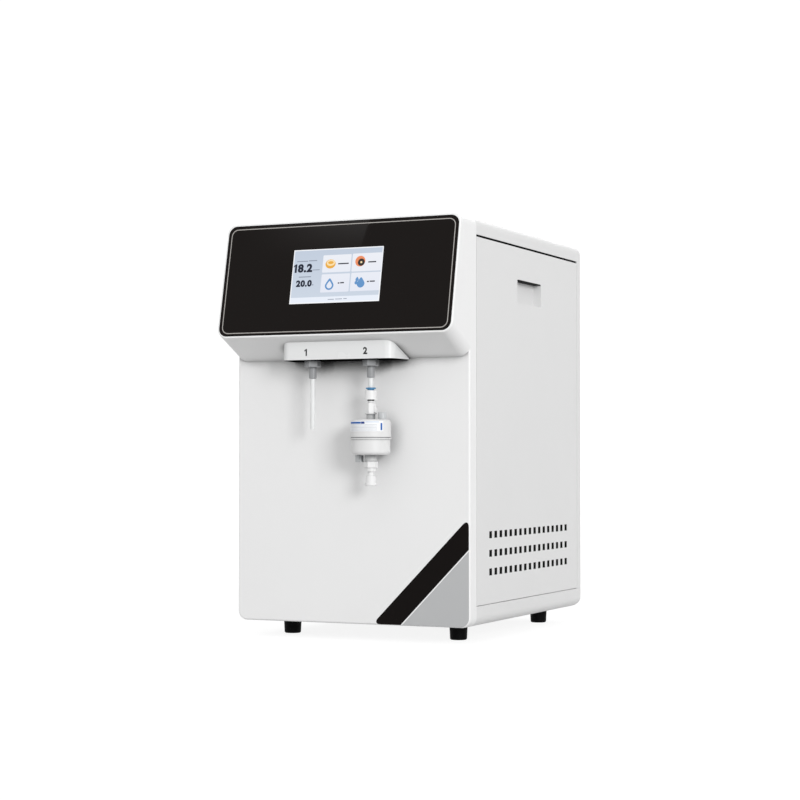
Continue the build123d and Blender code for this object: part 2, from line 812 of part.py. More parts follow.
# Base tray: folded sheet with upright walls, and a narrow ledge that each side panel stands on
tray_length = rear_seam_y - cover_back_y
tray_middle_y = (rear_seam_y + cover_back_y) / 2
tray_top_z = base_z + base_tray_height
foot_centers = [
    (side * (half_width - foot_side_inset), y)
    for y in (front_y + foot_front_inset, rear_y - foot_rear_inset) for side in (-1, 1)
]
hook_x = half_width - sheet - hook_inset
hook_depths = (tray_middle_y - hook_spread / 2, tray_middle_y + hook_spread / 2)
with BuildPart() as base_tray:
    with BuildSketch(facing(cover_back_y)) as section:
        with Locations((0, (base_z + tray_top_z) / 2)):
            Rectangle(body_width, base_tray_height)
        fillet(section.vertices().group_by(Axis.Y)[0], bottom_corner_radius)
    extrude(amount=-tray_length)
    with BuildSketch(facing(cover_back_y + sheet)) as section:
        with Locations((0, (base_z + tray_top_z) / 2)):
            Rectangle(body_width - 2 * sheet, base_tray_height - 2 * sheet)
        fillet(section.vertices().group_by(Axis.Y)[0], bottom_corner_radius - sheet)
    extrude(amount=-(tray_length - 2 * sheet), mode=Mode.SUBTRACT)
    with BuildSketch(Plane.XY.offset(tray_top_z - sheet)):
        with Locations((0, tray_middle_y)):
            Rectangle(body_width - 2 * panel_flange, tray_length - 2 * sheet)
    extrude(amount=sheet, mode=Mode.SUBTRACT)
    with BuildSketch(Plane.XY.offset(tray_top_z - sheet)):
        with Locations(*[(side * hook_x, y) for side in (-1, 1) for y in hook_depths]):
            Rectangle(2 * hook_slot_clearance + sheet, hook_width + 2 * hook_slot_clearance)
    extrude(amount=sheet, mode=Mode.SUBTRACT)
    with BuildSketch(Plane.XY.offset(base_z)):
        with Locations(*foot_centers):
            Circle(foot_bore_radius)
    extrude(amount=sheet, mode=Mode.SUBTRACT)
keep(base_tray.part, "base_tray")


# Feet: tapered rubber blocks with a countersunk screw each
def rubber_foot(center):
    """One foot, from the bench up to the tray."""
    with BuildPart() as foot:
        with BuildSketch(Plane.XY):
            with Locations(center):
                Circle(foot_bottom_radius)
        with BuildSketch(Plane.XY.offset(base_z)):
            with Locations(center):
                Circle(foot_top_radius)
        loft()
        chamfer(foot.faces().sort_by(Axis.Z)[0].edges(), foot_chamfer)
        with BuildSketch(Plane.XY):
            with Locations(center):
                Circle(foot_counterbore_radius)
        extrude(amount=foot_counterbore_depth, mode=Mode.SUBTRACT)
        with BuildSketch(Plane.XY):
            with Locations(center):
                Circle(foot_bore_radius)
        extrude(amount=foot_height, mode=Mode.SUBTRACT)
    return foot.part


foot_names = ("front_left_foot", "front_right_foot", "rear_left_foot", "rear_right_foot")
for name, center in zip(foot_names, foot_centers):
    keep(rubber_foot(center), name)

# Top cover: an inverted channel whose long edges are rounded
with BuildPart() as top_cover:
    with BuildSketch(facing(cover_back_y)) as section:
        with Locations((0, (skirt_z + top_z) / 2)):
            Rectangle(body_width, top_z - skirt_z)
        fillet(section.vertices().group_by(Axis.Y)[-1], top_edge_radius)
    extrude(amount=-tray_length)
    with BuildSketch(facing(cover_back_y)) as section:
        with Locations((0, (skirt_z + top_z) / 2 - sheet)):
            Rectangle(body_width - 2 * sheet, top_z - skirt_z)
        fillet(section.vertices().group_by(Axis.Y)[-1], top_edge_radius - sheet)
    extrude(amount=-tray_length, mode=Mode.SUBTRACT)
keep(top_cover.part, "top_cover")


# Rear panel: a shallow tray, open to the front, with the ports, the mains inlet and vents
def rear_form(inset):
    """The rear panel as a solid; with an inset it is the hollow, which runs out of the front."""
    front = rear_seam_y - inset
    depth = rear_y - inset - front
    with BuildPart() as form:
        with BuildSketch(facing(front)) as outline:
            with Locations((0, (base_z + top_z) / 2)):
                Rectangle(body_width - 2 * inset, body_height - 2 * inset)
            fillet(outline.vertices().group_by(Axis.Y)[0], bottom_corner_radius - inset)
            fillet(outline.vertices().group_by(Axis.Y)[-1], top_edge_radius - inset)
        extrude(amount=-depth)
        with BuildSketch(Plane.YZ) as side:
            with Locations((front + depth / 2, (base_z + top_z) / 2)):
                Rectangle(depth, body_height - 2 * inset)
            fillet(side.vertices().group_by(Axis.X)[-1], rear_corner_radius - inset)
        extrude(amount=half_width, both=True, mode=Mode.INTERSECT)
    return form.part


rear_inner_y = rear_y - rear_wall
cartridge_x = partition_x + sheet + cartridge_side_gap + cartridge_radius
membrane_x = partition_x - cartridge_side_gap - membrane_radius
feed_port_x = cartridge_x
drain_port_x = membrane_x + membrane_port_spread
port_centers = [(drain_port_x, port_z), (tank_port_x, port_z), (feed_port_x, port_z)]
inlet_center = (inlet_x, base_z + inlet_z)
screw_x = partition_x + sheet + partition_foot / 2
cover_screw_heights = [base_z + height for height in cover_screw_rows]
with BuildPart() as rear_panel:
    add(rear_form(0))
    add(rear_form(rear_wall), mode=Mode.SUBTRACT)
    with BuildSketch(facing(rear_inner_y)):
        with Locations(*port_centers):
            Circle(port_thread_radius + port_hole_clearance)
        with Locations(inlet_center):
            Rectangle(inlet_width, inlet_height)
        with Locations(*[(screw_x, height) for height in cover_screw_heights]):
            Circle(foot_bore_radius)
        with Locations((rear_vent_x, base_z + rear_vent_height)):
            with GridLocations(0, rear_vent_pitch, 1, rear_vent_count):
                Rectangle(rear_vent_width, rear_vent_slot)
    extrude(amount=-rear_wall, mode=Mode.SUBTRACT)
keep(rear_panel.part, "rear_panel")

# Side panels: folded sheet, hooked into the tray's ledge and caught at the top edge
panel_length = tray_length - 2 * door_gap
panel_height = door_top_z - door_low_z
panel_middle = (tray_middle_y, (door_low_z + door_top_z) / 2)
skin_x = half_width - sheet
pull_center = (front_y + pull_center_depth, base_z + pull_center_height)
vent_center_point = (front_y + vent_center_depth, base_z + vent_center_height)
stud_centers = [(tray_middle_y + side * stud_spread / 2, door_top_z - stud_drop) for side in (-1, 1)]
with BuildPart() as right_side_panel:
    with BuildSketch(Plane.YZ.offset(skin_x)):
        with Locations(panel_middle):
            Rectangle(panel_length, panel_height)
    extrude(amount=sheet)
    with BuildSketch(Plane.YZ.offset(half_width - panel_flange)):
        with Locations(panel_middle):
            Rectangle(panel_length, panel_height)
            Rectangle(panel_length - 2 * sheet, panel_height - 2 * sheet, mode=Mode.SUBTRACT)
            with GridLocations(panel_length, panel_height, 2, 2):
                Rectangle(2 * panel_corner_relief, 2 * panel_corner_relief, mode=Mode.SUBTRACT)
    extrude(amount=panel_flange - sheet)
    with BuildSketch(Plane.YZ.offset(skin_x)):
        with Locations(pull_center):
            RectangleRounded(pull_width, pull_height, pull_corner_radius)
        with Locations(vent_center_point):
            with GridLocations(vent_pitch_y, vent_pitch_z, vent_columns, vent_rows):
                Rectangle(vent_width, vent_height)
    extrude(amount=sheet, mode=Mode.SUBTRACT)
    with BuildSketch(Plane.XY.offset(door_low_z - hook_drop)):
        with Locations(*[(hook_x, y) for y in hook_depths]):
            Rectangle(sheet, hook_width)
    extrude(amount=hook_drop)
keep(right_side_panel.part, "right_side_panel")

with BuildPart() as left_side_panel:
    mirror(right_side_panel.part, about=Plane.YZ)
keep(left_side_panel.part, "left_side_panel")

# Pull cups: shallow moulded recesses behind the openings in the side panels
pull_back_x = half_width - pull_depth
with BuildPart() as right_pull_cup:
    with BuildSketch(Plane.YZ.offset(skin_x - pull_wall)):
        with Locations(pull_center):
            RectangleRounded(
                pull_width + 2 * pull_rim, pull_height + 2 * pull_rim, pull_corner_radius
            )
    extrude(amount=pull_wall)
    with BuildSketch(Plane.YZ.offset(pull_back_x - pull_wall)):
        with Locations(pull_center):
            RectangleRounded(
                pull_width + 2 * pull_wall, pull_height + 2 * pull_wall, pull_corner_radius
            )
    extrude(amount=pull_depth - sheet + pull_wall)
    with BuildSketch(Plane.YZ.offset(pull_back_x)):
        with Locations(pull_center):
            RectangleRounded(pull_width, pull_height, pull_corner_radius)
    extrude(amount=pull_depth, mode=Mode.SUBTRACT)
keep(right_pull_cup.part, "right_pull_cup")

with BuildPart() as left_pull_cup:
    mirror(right_pull_cup.part, about=Plane.YZ)
keep(left_pull_cup.part, "left_pull_cup")

# Catches: ball studs on the side panels, and open sockets for them on the top rails
ball_x = skin_x - stud_length + stud_ball_radius
neck_angle = math.degrees(math.asin(stud_radius / stud_ball_radius))
with BuildPart() as right_catch_studs:
    for y, z in stud_centers:
        with BuildSketch(Plane.XY.offset(z)):
            with BuildLine() as profile:
                bulb = CenterArc((ball_x, y), stud_ball_radius, neck_angle, 180 - neck_angle)
                Polyline(
                    bulb @ 1,
                    (skin_x, y),
                    (skin_x, y + stud_pad_radius),
                    (skin_x - stud_pad_thickness, y + stud_pad_radius),
                    (skin_x - stud_pad_thickness, y + stud_radius),
                    bulb @ 0,
                )
            make_face()
        revolve(axis=Axis((0, y, z), (1, 0, 0)))
keep(right_catch_studs.part, "right_catch_studs")

with BuildPart() as left_catch_studs:
    mirror(right_catch_studs.part, about=Plane.YZ)
keep(left_catch_studs.part, "left_catch_studs")

rail_web_x = half_width - rail_inset
with BuildPart() as right_top_rail:
    with BuildSketch(facing(cover_back_y)):
        with BuildLine():
            Polyline(
                (rail_web_x, top_z - sheet),
                (rail_web_x - rail_flange, top_z - sheet),
                (rail_web_x - rail_flange, top_z - 2 * sheet),
                (rail_web_x - sheet, top_z - 2 * sheet),
                (rail_web_x - sheet, top_z - sheet - rail_drop),
                (rail_web_x, top_z - sheet - rail_drop),
                close=True,
            )
        make_face()
    extrude(amount=-tray_length)
keep(right_top_rail.part, "right_top_rail")

with BuildPart() as left_top_rail:
    mirror(right_top_rail.part, about=Plane.YZ)
keep(left_top_rail.part, "left_top_rail")

with BuildPart() as catch_clips:
    with BuildSketch(Plane.YZ.offset(rail_web_x)):
        with Locations(*stud_centers):
            Circle(clip_radius)
            Circle(stud_ball_radius + clip_clearance, mode=Mode.SUBTRACT)
    extrude(amount=clip_length)
    mirror(about=Plane.YZ)
keep(catch_clips.part, "catch_clips")

# Partition: a folded plate that divides the cabinet and carries the cartridges and the board
partition_front_y = cover_back_y + inner_end_gap
partition_back_y = rear_seam_y - inner_end_gap
with BuildPart() as partition_plate:
    with BuildSketch(Plane.YZ.offset(partition_x)):
        with BuildLine():
            Polyline(
                (partition_front_y, floor_z),
                (partition_back_y, floor_z),
                (partition_back_y, tray_top_z + inner_end_gap),
                (rear_inner_y, tray_top_z + inner_end_gap),
                (rear_inner_y, base_z + partition_top),
                (partition_front_y, base_z + partition_top),
                close=True,
            )
        make_face()
    extrude(amount=sheet)
    with BuildSketch(Plane.XY.offset(floor_z)):
        with Locations((partition_x + sheet + partition_foot / 2,
                        (partition_front_y + partition_back_y) / 2)):
            Rectangle(partition_foot, partition_back_y - partition_front_y)
    extrude(amount=sheet)
    flange_low_z = tray_top_z + inner_end_gap
    with BuildSketch(facing(rear_inner_y)):
        with Locations((partition_x + sheet + partition_foot / 2,
                        (flange_low_z + base_z + partition_top) / 2)):
            Rectangle(partition_foot, base_z + partition_top - flange_low_z)
        with Locations(*[(screw_x, height) for height in cover_screw_heights]):
            Circle(foot_bore_radius, mode=Mode.SUBTRACT)
    extrude(amount=sheet)
keep(partition_plate.part, "partition_plate")

with BuildPart() as pan_head_screws:
    for center in foot_centers:
        with BuildSketch(Plane.XY.offset(foot_counterbore_depth - screw_head_height)):
            with Locations(center):
                Circle(screw_head_radius)
        extrude(amount=screw_head_height)
        with BuildSketch(Plane.XY.offset(foot_counterbore_depth)):
            with Locations(center):
                Circle(screw_radius)
        extrude(amount=screw_length)
    for height in cover_screw_heights:
        with BuildSketch(facing(rear_y)):
            with Locations((screw_x, height)):
                Circle(screw_head_radius)
        extrude(amount=-screw_head_height)
        with BuildSketch(facing(rear_y)):
            with Locations((screw_x, height)):
                Circle(screw_radius)
        extrude(amount=cover_screw_length)
keep(pan_head_screws.part, "pan_head_screws")


# Cartridges: sealed tubes with a domed cap and a port at each end
def cartridge(depth):
    """One upright cartridge whose axis stands this far behind the front face."""
    center = (cartridge_x, front_y + depth)
    low_z = base_z + cartridge_low
    with BuildPart() as tank:
        with BuildSketch(Plane.XY.offset(low_z)):
            with Locations(center):
                Circle(cartridge_radius)
        extrude(amount=cartridge_length)
        for cap_z, way in ((low_z, 1), (low_z + cartridge_length, -1)):
            with BuildSketch(Plane.XY.offset(cap_z)):
                with Locations(center):
                    Circle(cartridge_cap_radius)
            extrude(amount=way * cartridge_cap_length)
        ends = tank.faces().filter_by(Axis.Z).sort_by(Axis.Z)
        fillet(ends[0].edges() + ends[-1].edges(), cartridge_cap_fillet)
        for port_start, way in ((low_z, -1), (low_z + cartridge_length, 1)):
            with BuildSketch(Plane.XY.offset(port_start)):
                with Locations(center):
                    Circle(cartridge_port_radius)
            extrude(amount=way * cartridge_port_length)
    return tank.part


cartridge_names = (
    "sediment_cartridge", "carbon_cartridge", "first_resin_cartridge", "second_resin_cartridge",
)
cartridge_depths = [
    first_cartridge_depth - cartridge_pitch * row for row in range(len(cartridge_names))
]
sediment_depth, carbon_depth, first_resin_depth, second_resin_depth = cartridge_depths
for name, depth in zip(cartridge_names, cartridge_depths):
    keep(cartridge(depth), name)

membrane_y = front_y + first_resin_depth
with BuildPart() as membrane_housing:
    with BuildSketch(Plane.XY.offset(base_z + membrane_low)):
        with Locations((membrane_x, membrane_y)):
            Circle(membrane_radius)
    extrude(amount=membrane_length)
    for cap_z, way in ((membrane_low, 1), (membrane_low + membrane_length, -1)):
        with BuildSketch(Plane.XY.offset(base_z + cap_z)):
            with Locations((membrane_x, membrane_y)):
                Circle(membrane_cap_radius)
        extrude(amount=way * cartridge_cap_length)
    ends = membrane_housing.faces().filter_by(Axis.Z).sort_by(Axis.Z)
    fillet(ends[0].edges() + ends[-1].edges(), cartridge_cap_fillet)
    with BuildSketch(Plane.XY.offset(base_z + membrane_low)):
        with Locations((membrane_x, membrane_y)):
            Circle(cartridge_port_radius)
    extrude(amount=-cartridge_port_length)
    with BuildSketch(Plane.XY.offset(base_z + membrane_low + membrane_length)):
        with Locations((membrane_x - membrane_port_spread, membrane_y),
                       (membrane_x + membrane_port_spread, membrane_y)):
            Circle(cartridge_port_radius)
    extrude(amount=cartridge_port_length)
keep(membrane_housing.part, "membrane_housing")


def spring_clip(center, radius, face_x, height):
    """A C-shaped clip round an upright tube, with its foot on the partition's face at face_x."""
    way = 1 if center[0] > face_x else -1
    inner = radius + clip_fit
    reach = abs(center[0] - face_x)
    mouth = math.radians(clip_opening / 2)
    with BuildPart() as clip:
        with BuildSketch(Plane.XY.offset(base_z + height)):
            with Locations(((center[0] + face_x) / 2, center[1])):
                Rectangle(reach, clip_foot_width)
            with Locations(center):
                Circle(inner + clip_wall)
                Circle(inner, mode=Mode.SUBTRACT)
            with BuildLine():
                far = 2 * radius
                Polyline(
                    center,
                    (center[0] + way * far, center[1] - far * math.tan(mouth) / 2),
                    (center[0] + way * far, center[1] + far * math.tan(mouth) / 2),
                    close=True,
                )
            make_face(mode=Mode.SUBTRACT)
        extrude(amount=clip_band)
    return clip.part


with BuildPart() as cartridge_clips:
    for height in (clip_low_height, clip_high_height):
        for depth in cartridge_depths:
            add(spring_clip((cartridge_x, front_y + depth), cartridge_radius,
                            partition_x + sheet, height))
        add(spring_clip((membrane_x, membrane_y), membrane_radius, partition_x,
                        height + membrane_low - cartridge_low))
keep(cartridge_clips.part, "cartridge_clips")

# Booster pump: a diaphragm head on a round motor, standing on a saddle
pump_y = front_y + carbon_depth
pump_z = base_z + pump_height
head_front_y = pump_y - pump_head_length / 2
head_rear_y = pump_y + pump_head_length / 2
with BuildPart() as pump_head:
    with BuildSketch(facing(head_front_y)):
        with Locations((membrane_x, pump_z)):
            RectangleRounded(pump_head_size, pump_head_size, pump_head_corner)
    extrude(amount=-pump_head_length)
    with BuildSketch(facing(head_front_y)):
        with Locations((membrane_x, pump_z)):
            Circle(pump_cover_radius)
    extrude(amount=pump_cover_length)
    with BuildSketch(facing(head_front_y)):
        with Locations((membrane_x, pump_z)):
            Circle(cartridge_port_radius)
    extrude(amount=pump_port_length)
    with BuildSketch(Plane.XY.offset(pump_z + pump_head_size / 2)):
        with Locations((membrane_x, pump_y)):
            Circle(cartridge_port_radius)
    extrude(amount=pump_port_length)
keep(pump_head.part, "pump_head")

with BuildPart() as pump_motor:
    with BuildSketch(facing(head_rear_y)):
        with Locations((membrane_x, pump_z)):
            Circle(pump_motor_radius)
    extrude(amount=-pump_motor_length)
    fillet(pump_motor.faces().sort_by(Axis.Y)[-1].edges(), pump_motor_fillet)
    with BuildSketch(facing(head_rear_y + pump_motor_length)):
        with Locations((membrane_x, pump_z)):
            Circle(pump_bearing_radius)
    extrude(amount=-pump_bearing_length)
keep(pump_motor.part, "pump_motor")

saddle_y = head_rear_y + pump_motor_length / 2
bracket_low_z = floor_z
bracket_top_z = floor_z + pump_bracket_thickness
with BuildPart() as pump_bracket:
    bracket_length = pump_head_length + pump_motor_length / 2 + pump_foot_length
    with BuildSketch(Plane.XY.offset(bracket_low_z)):
        with Locations((membrane_x - pump_bracket_shift, head_front_y + bracket_length / 2)):
            Rectangle(pump_bracket_width, bracket_length)
    extrude(amount=pump_bracket_thickness)
    with BuildSketch(Plane.XY.offset(bracket_top_z)):
        with Locations((membrane_x, saddle_y)):
            Rectangle(pump_motor_radius, pump_foot_length)
    extrude(amount=pump_z - pump_motor_radius / 2 - bracket_top_z)
    with BuildSketch(facing(head_rear_y)):
        with Locations((membrane_x, pump_z)):
            Circle(pump_motor_radius + clip_fit)
    extrude(amount=-pump_motor_length, mode=Mode.SUBTRACT)
    with BuildSketch(Plane.XY.offset(bracket_top_z)):
        with Locations((membrane_x, pump_y)):
            Rectangle(pump_head_size / 2, pump_foot_length)
    extrude(amount=pump_z - pump_head_size / 2 - clip_fit - bracket_top_z)
keep(pump_bracket.part, "pump_bracket")

# Rear ports: identical push-fit bulkhead fittings
with BuildPart() as rear_ports:
    for center in port_centers:
        with BuildSketch(facing(rear_y)):
            with Locations(center):
                RegularPolygon(port_hex_across / 2, hex_sides, major_radius=False)
        extrude(amount=-port_hex_length)
        with BuildSketch(facing(rear_y)):
            with Locations(center):
                Circle(port_body_radius)
        extrude(amount=-(port_reach - port_collet_length))
        with BuildSketch(facing(rear_y)):
            with Locations(center):
                Circle(port_collet_radius)
        extrude(amount=-port_reach)
        with BuildSketch(facing(rear_y)):
            with Locations(center):
                Circle(port_thread_radius)
        extrude(amount=rear_wall + port_inner_length)
        with BuildSketch(facing(rear_inner_y)):
            with Locations(center):
                RegularPolygon(port_hex_across / 2, hex_sides, major_radius=False)
        extrude(amount=port_nut_length)
        with BuildSketch(facing(rear_y + port_reach)):
            with Locations(center):
                Circle(tube_radius + tube_clearance)
        extrude(amount=port_bore_depth, mode=Mode.SUBTRACT)
        with BuildSketch(facing(rear_y + port_reach)):
            with Locations(center):
                Circle(tube_bore_radius)
        extrude(amount=port_reach + rear_wall + port_inner_length, mode=Mode.SUBTRACT)
keep(rear_ports.part, "rear_ports")

# Solenoid valves: one on the feed, one on the waste, on a shelf inside the rear panel
valve_back_y = rear_inner_y - port_inner_length
valve_front_y = valve_back_y - valve_length


def solenoid_valve(x):
    """A valve block in line with one rear port, with its coil on top."""
    with BuildPart() as valve:
        with BuildSketch(facing(valve_front_y)):
            with Locations((x, port_z)):
                Circle(cartridge_port_radius)
        extrude(amount=-valve_length)
        with BuildSketch(facing(valve_front_y + valve_end_length)):
            with Locations((x, port_z)):
                RectangleRounded(valve_body_width, valve_body_height, valve_corner)
        extrude(amount=-(valve_length - 2 * valve_end_length))
        with BuildSketch(Plane.XY.offset(port_z)):
            with Locations((x, (valve_front_y + valve_back_y) / 2)):
                RectangleRounded(coil_width, coil_length, valve_corner)
        extrude(amount=coil_height)
    return valve.part


keep(solenoid_valve(feed_port_x), "inlet_valve")
keep(solenoid_valve(drain_port_x), "flush_valve")

shelf_z = port_z - valve_body_height / 2
with BuildPart() as valve_shelf:
    shelf_low_x = drain_port_x - valve_body_width
    shelf_high_x = feed_port_x + valve_body_width
    with BuildSketch(Plane.XY.offset(shelf_z - sheet)):
        with Locations(((shelf_low_x + shelf_high_x) / 2, rear_inner_y - valve_shelf_width / 2)):
            Rectangle(shelf_high_x - shelf_low_x, valve_shelf_width)
    extrude(amount=sheet)
    with BuildSketch(facing(rear_inner_y)):
        with Locations(((shelf_low_x + shelf_high_x) / 2, shelf_z - valve_shelf_drop / 2)):
            Rectangle(shelf_high_x - shelf_low_x, valve_shelf_drop)
    extrude(amount=sheet)
keep(valve_shelf.part, "valve_shelf")


# Tubing inside the cabinet: one solid for each length, grouped by the water that it carries
def place(x, depth, height):
    """A point given by its side, its depth behind the front face and its height in the cabinet."""
    return Vector(x, front_y + depth, base_z + height)


def tube_run(points, bend=tube_bend_radius):
    """A tube along straight runs joined by round bends."""
    with BuildPart() as tube:
        with BuildLine() as path:
            if len(points) > 2:
                FilletPolyline(*points, radius=bend)
            else:
                Line(*points)
        with BuildSketch(Plane(origin=path.wire() @ 0, z_dir=path.wire() % 0)):
            Circle(tube_radius)
            Circle(tube_bore_radius, mode=Mode.SUBTRACT)
        sweep(path=path.wire())
    return tube.part


top_port_height = cartridge_low + cartridge_length + cartridge_port_length
low_port_height = cartridge_low - cartridge_port_length
low_link_height = low_port_height - link_drop
permeate_height = port_row_height + tube_row_step
suction_height = permeate_height + tube_row_step
membrane_top_height = membrane_low + membrane_length + cartridge_port_length
membrane_depth = first_resin_depth
pump_depth = carbon_depth
valve_front_depth = valve_front_y - front_y
permeate_riser_x = membrane_x - membrane_port_spread
elbow_depth = elbow_reach - outlet_reach


def low_link(first, second):
    """The U-shaped tube under two cartridges."""
    return tube_run([
        place(cartridge_x, first, low_port_height),
        place(cartridge_x, first, low_link_height),
        place(cartridge_x, second, low_link_height),
        place(cartridge_x, second, low_port_height),
    ])


with BuildPart() as raw_water_tubing:
    add(tube_run([
        place(feed_port_x, valve_front_depth, port_row_height),
        place(feed_port_x, sediment_depth, port_row_height),
        place(feed_port_x, sediment_depth, top_port_height),
    ]))
    add(low_link(sediment_depth, carbon_depth))
    add(tube_run([
        place(cartridge_x, carbon_depth, top_port_height),
        place(cartridge_x, carbon_depth, suction_height),
        place(membrane_x, pump_depth, suction_height),
        place(membrane_x, pump_depth, pump_height + pump_head_size / 2 + pump_port_length),
    ]))
    add(tube_run([
        place(membrane_x, pump_depth - pump_head_length / 2 - pump_port_length, pump_height),
        place(membrane_x, membrane_depth, pump_height),
        place(membrane_x, membrane_depth, membrane_low - cartridge_port_length),
    ]))
keep(raw_water_tubing.part, "raw_water_tubing")

with BuildPart() as waste_tubing:
    add(tube_run([
        place(drain_port_x, membrane_depth, membrane_top_height),
        place(drain_port_x, membrane_depth, port_row_height),
        place(drain_port_x, valve_front_depth, port_row_height),
    ]))
keep(waste_tubing.part, "waste_tubing")

with BuildPart() as permeate_tubing:
    add(tube_run([
        place(permeate_riser_x, membrane_depth, membrane_top_height),
        place(permeate_riser_x, membrane_depth, permeate_height),
        place(outlet_tee_x - tee_reach, membrane_depth, permeate_height),
    ]))
    add(tube_run([
        place(outlet_tee_x + tee_reach, membrane_depth, permeate_height),
        place(tank_port_x - tee_reach, membrane_depth, permeate_height),
    ]))
    add(tube_run([
        place(tank_port_x + tee_reach, membrane_depth, permeate_height),
        place(cartridge_x, membrane_depth, permeate_height),
        place(cartridge_x, membrane_depth, top_port_height),
    ]))
    add(tube_run([
        place(tank_port_x, membrane_depth + tee_reach, permeate_height),
        place(tank_port_x, carbon_depth, permeate_height),
        place(tank_port_x, sediment_depth + elbow_reach, port_row_height),
        place(tank_port_x, valve_front_depth + valve_length, port_row_height),
    ], bend=tank_tube_bend))
    add(tube_run([
        place(outlet_tee_x, membrane_depth - tee_reach, permeate_height),
        place(outlet_tee_x, second_resin_depth + tee_reach, permeate_height),
        place(-outlet_offset, front_cover_depth, elbow_height),
        place(-outlet_offset, elbow_depth, elbow_height),
    ]))
keep(permeate_tubing.part, "permeate_tubing")

with BuildPart() as permeate_tees:
    for x, way in ((outlet_tee_x, -1), (tank_port_x, 1)):
        center = place(x, membrane_depth, permeate_height)
        with BuildSketch(Plane.YZ.offset(x)):
            with Locations((center.Y, center.Z)):
                Circle(tee_radius)
        extrude(amount=tee_reach, both=True)
        with BuildSketch(facing(center.Y)):
            with Locations((x, center.Z)):
                Circle(tee_radius)
        extrude(amount=-way * tee_reach)
        with BuildSketch(Plane.YZ.offset(x)):
            with Locations((center.Y, center.Z)):
                Circle(tube_bore_radius)
        extrude(amount=tee_reach, both=True, mode=Mode.SUBTRACT)
        with BuildSketch(facing(center.Y)):
            with Locations((x, center.Z)):
                Circle(tube_bore_radius)
        extrude(amount=-way * tee_reach, mode=Mode.SUBTRACT)
keep(permeate_tees.part, "permeate_tees")

with BuildPart() as resin_water_tubing:
    add(low_link(first_resin_depth, second_resin_depth))
    add(tube_run([
        place(outlet_offset, elbow_depth, elbow_height),
        place(outlet_offset, front_cover_depth, elbow_height),
        place(cartridge_x, second_resin_depth, elbow_height),
        place(cartridge_x, second_resin_depth, top_port_height + cell_length),
    ], bend=outlet_tube_bend))
keep(resin_water_tubing.part, "resin_water_tubing")

with BuildPart() as conductivity_cell:
    cell_base = place(cartridge_x, second_resin_depth, top_port_height)
    with BuildSketch(Plane.XY.offset(cell_base.Z)):
        with Locations((cell_base.X, cell_base.Y)):
            Circle(cell_radius)
    extrude(amount=cell_length)
    chamfer(conductivity_cell.faces().filter_by(Axis.Z).edges(), cell_chamfer)
    with BuildSketch(Plane.YZ.offset(cell_base.X)):
        with Locations((cell_base.Y, cell_base.Z + cell_length / 2)):
            Circle(cell_probe_radius)
    extrude(amount=cell_radius + cell_probe_length)
    with BuildSketch(Plane.XY.offset(cell_base.Z)):
        with Locations((cell_base.X, cell_base.Y)):
            Circle(tube_bore_radius)
    extrude(amount=cell_length, mode=Mode.SUBTRACT)
keep(conductivity_cell.part, "conductivity_cell")

# Power supply: a slotted steel case on the tray's floor
supply_x = partition_x - inner_end_gap - supply_width / 2
supply_y = front_y + supply_front_depth + supply_depth / 2
with BuildPart() as power_supply:
    with BuildSketch(Plane.XY.offset(floor_z)):
        with Locations((supply_x, supply_y)):
            Rectangle(supply_width, supply_depth)
    extrude(amount=supply_height)
    with BuildSketch(Plane.XY.offset(floor_z + supply_height)):
        with Locations((supply_x, supply_y)):
            with GridLocations(supply_slot_pitch, 0, supply_slots, 1):
                Rectangle(supply_slot_width, supply_depth - 2 * supply_slot_margin)
    extrude(amount=-supply_slot_depth, mode=Mode.SUBTRACT)
keep(power_supply.part, "power_supply")

# Control board: on standoffs from the partition, with its larger components
board_center = (front_y + board_front_depth + board_width / 2,
                base_z + board_low_height + board_height / 2)
with BuildPart() as control_board:
    board_x = partition_x - board_standoff
    with BuildSketch(Plane.YZ.offset(board_x)):
        with Locations(board_center):
            Rectangle(board_width, board_height)
    extrude(amount=-board_thickness)
    with BuildSketch(Plane.YZ.offset(board_x)):
        with Locations(board_center):
            with GridLocations(board_width - 2 * board_post_inset,
                               board_height - 2 * board_post_inset, 2, 2):
                Circle(board_post_radius)
    extrude(amount=board_standoff)
    face = Plane.YZ.offset(board_x - board_thickness)
    for offset_y, offset_z, width, height, rise in board_components:
        with BuildSketch(face):
            with Locations((board_center[0] + offset_y, board_center[1] + offset_z)):
                Rectangle(width, height)
        extrude(amount=-rise)
keep(control_board.part, "control_board")

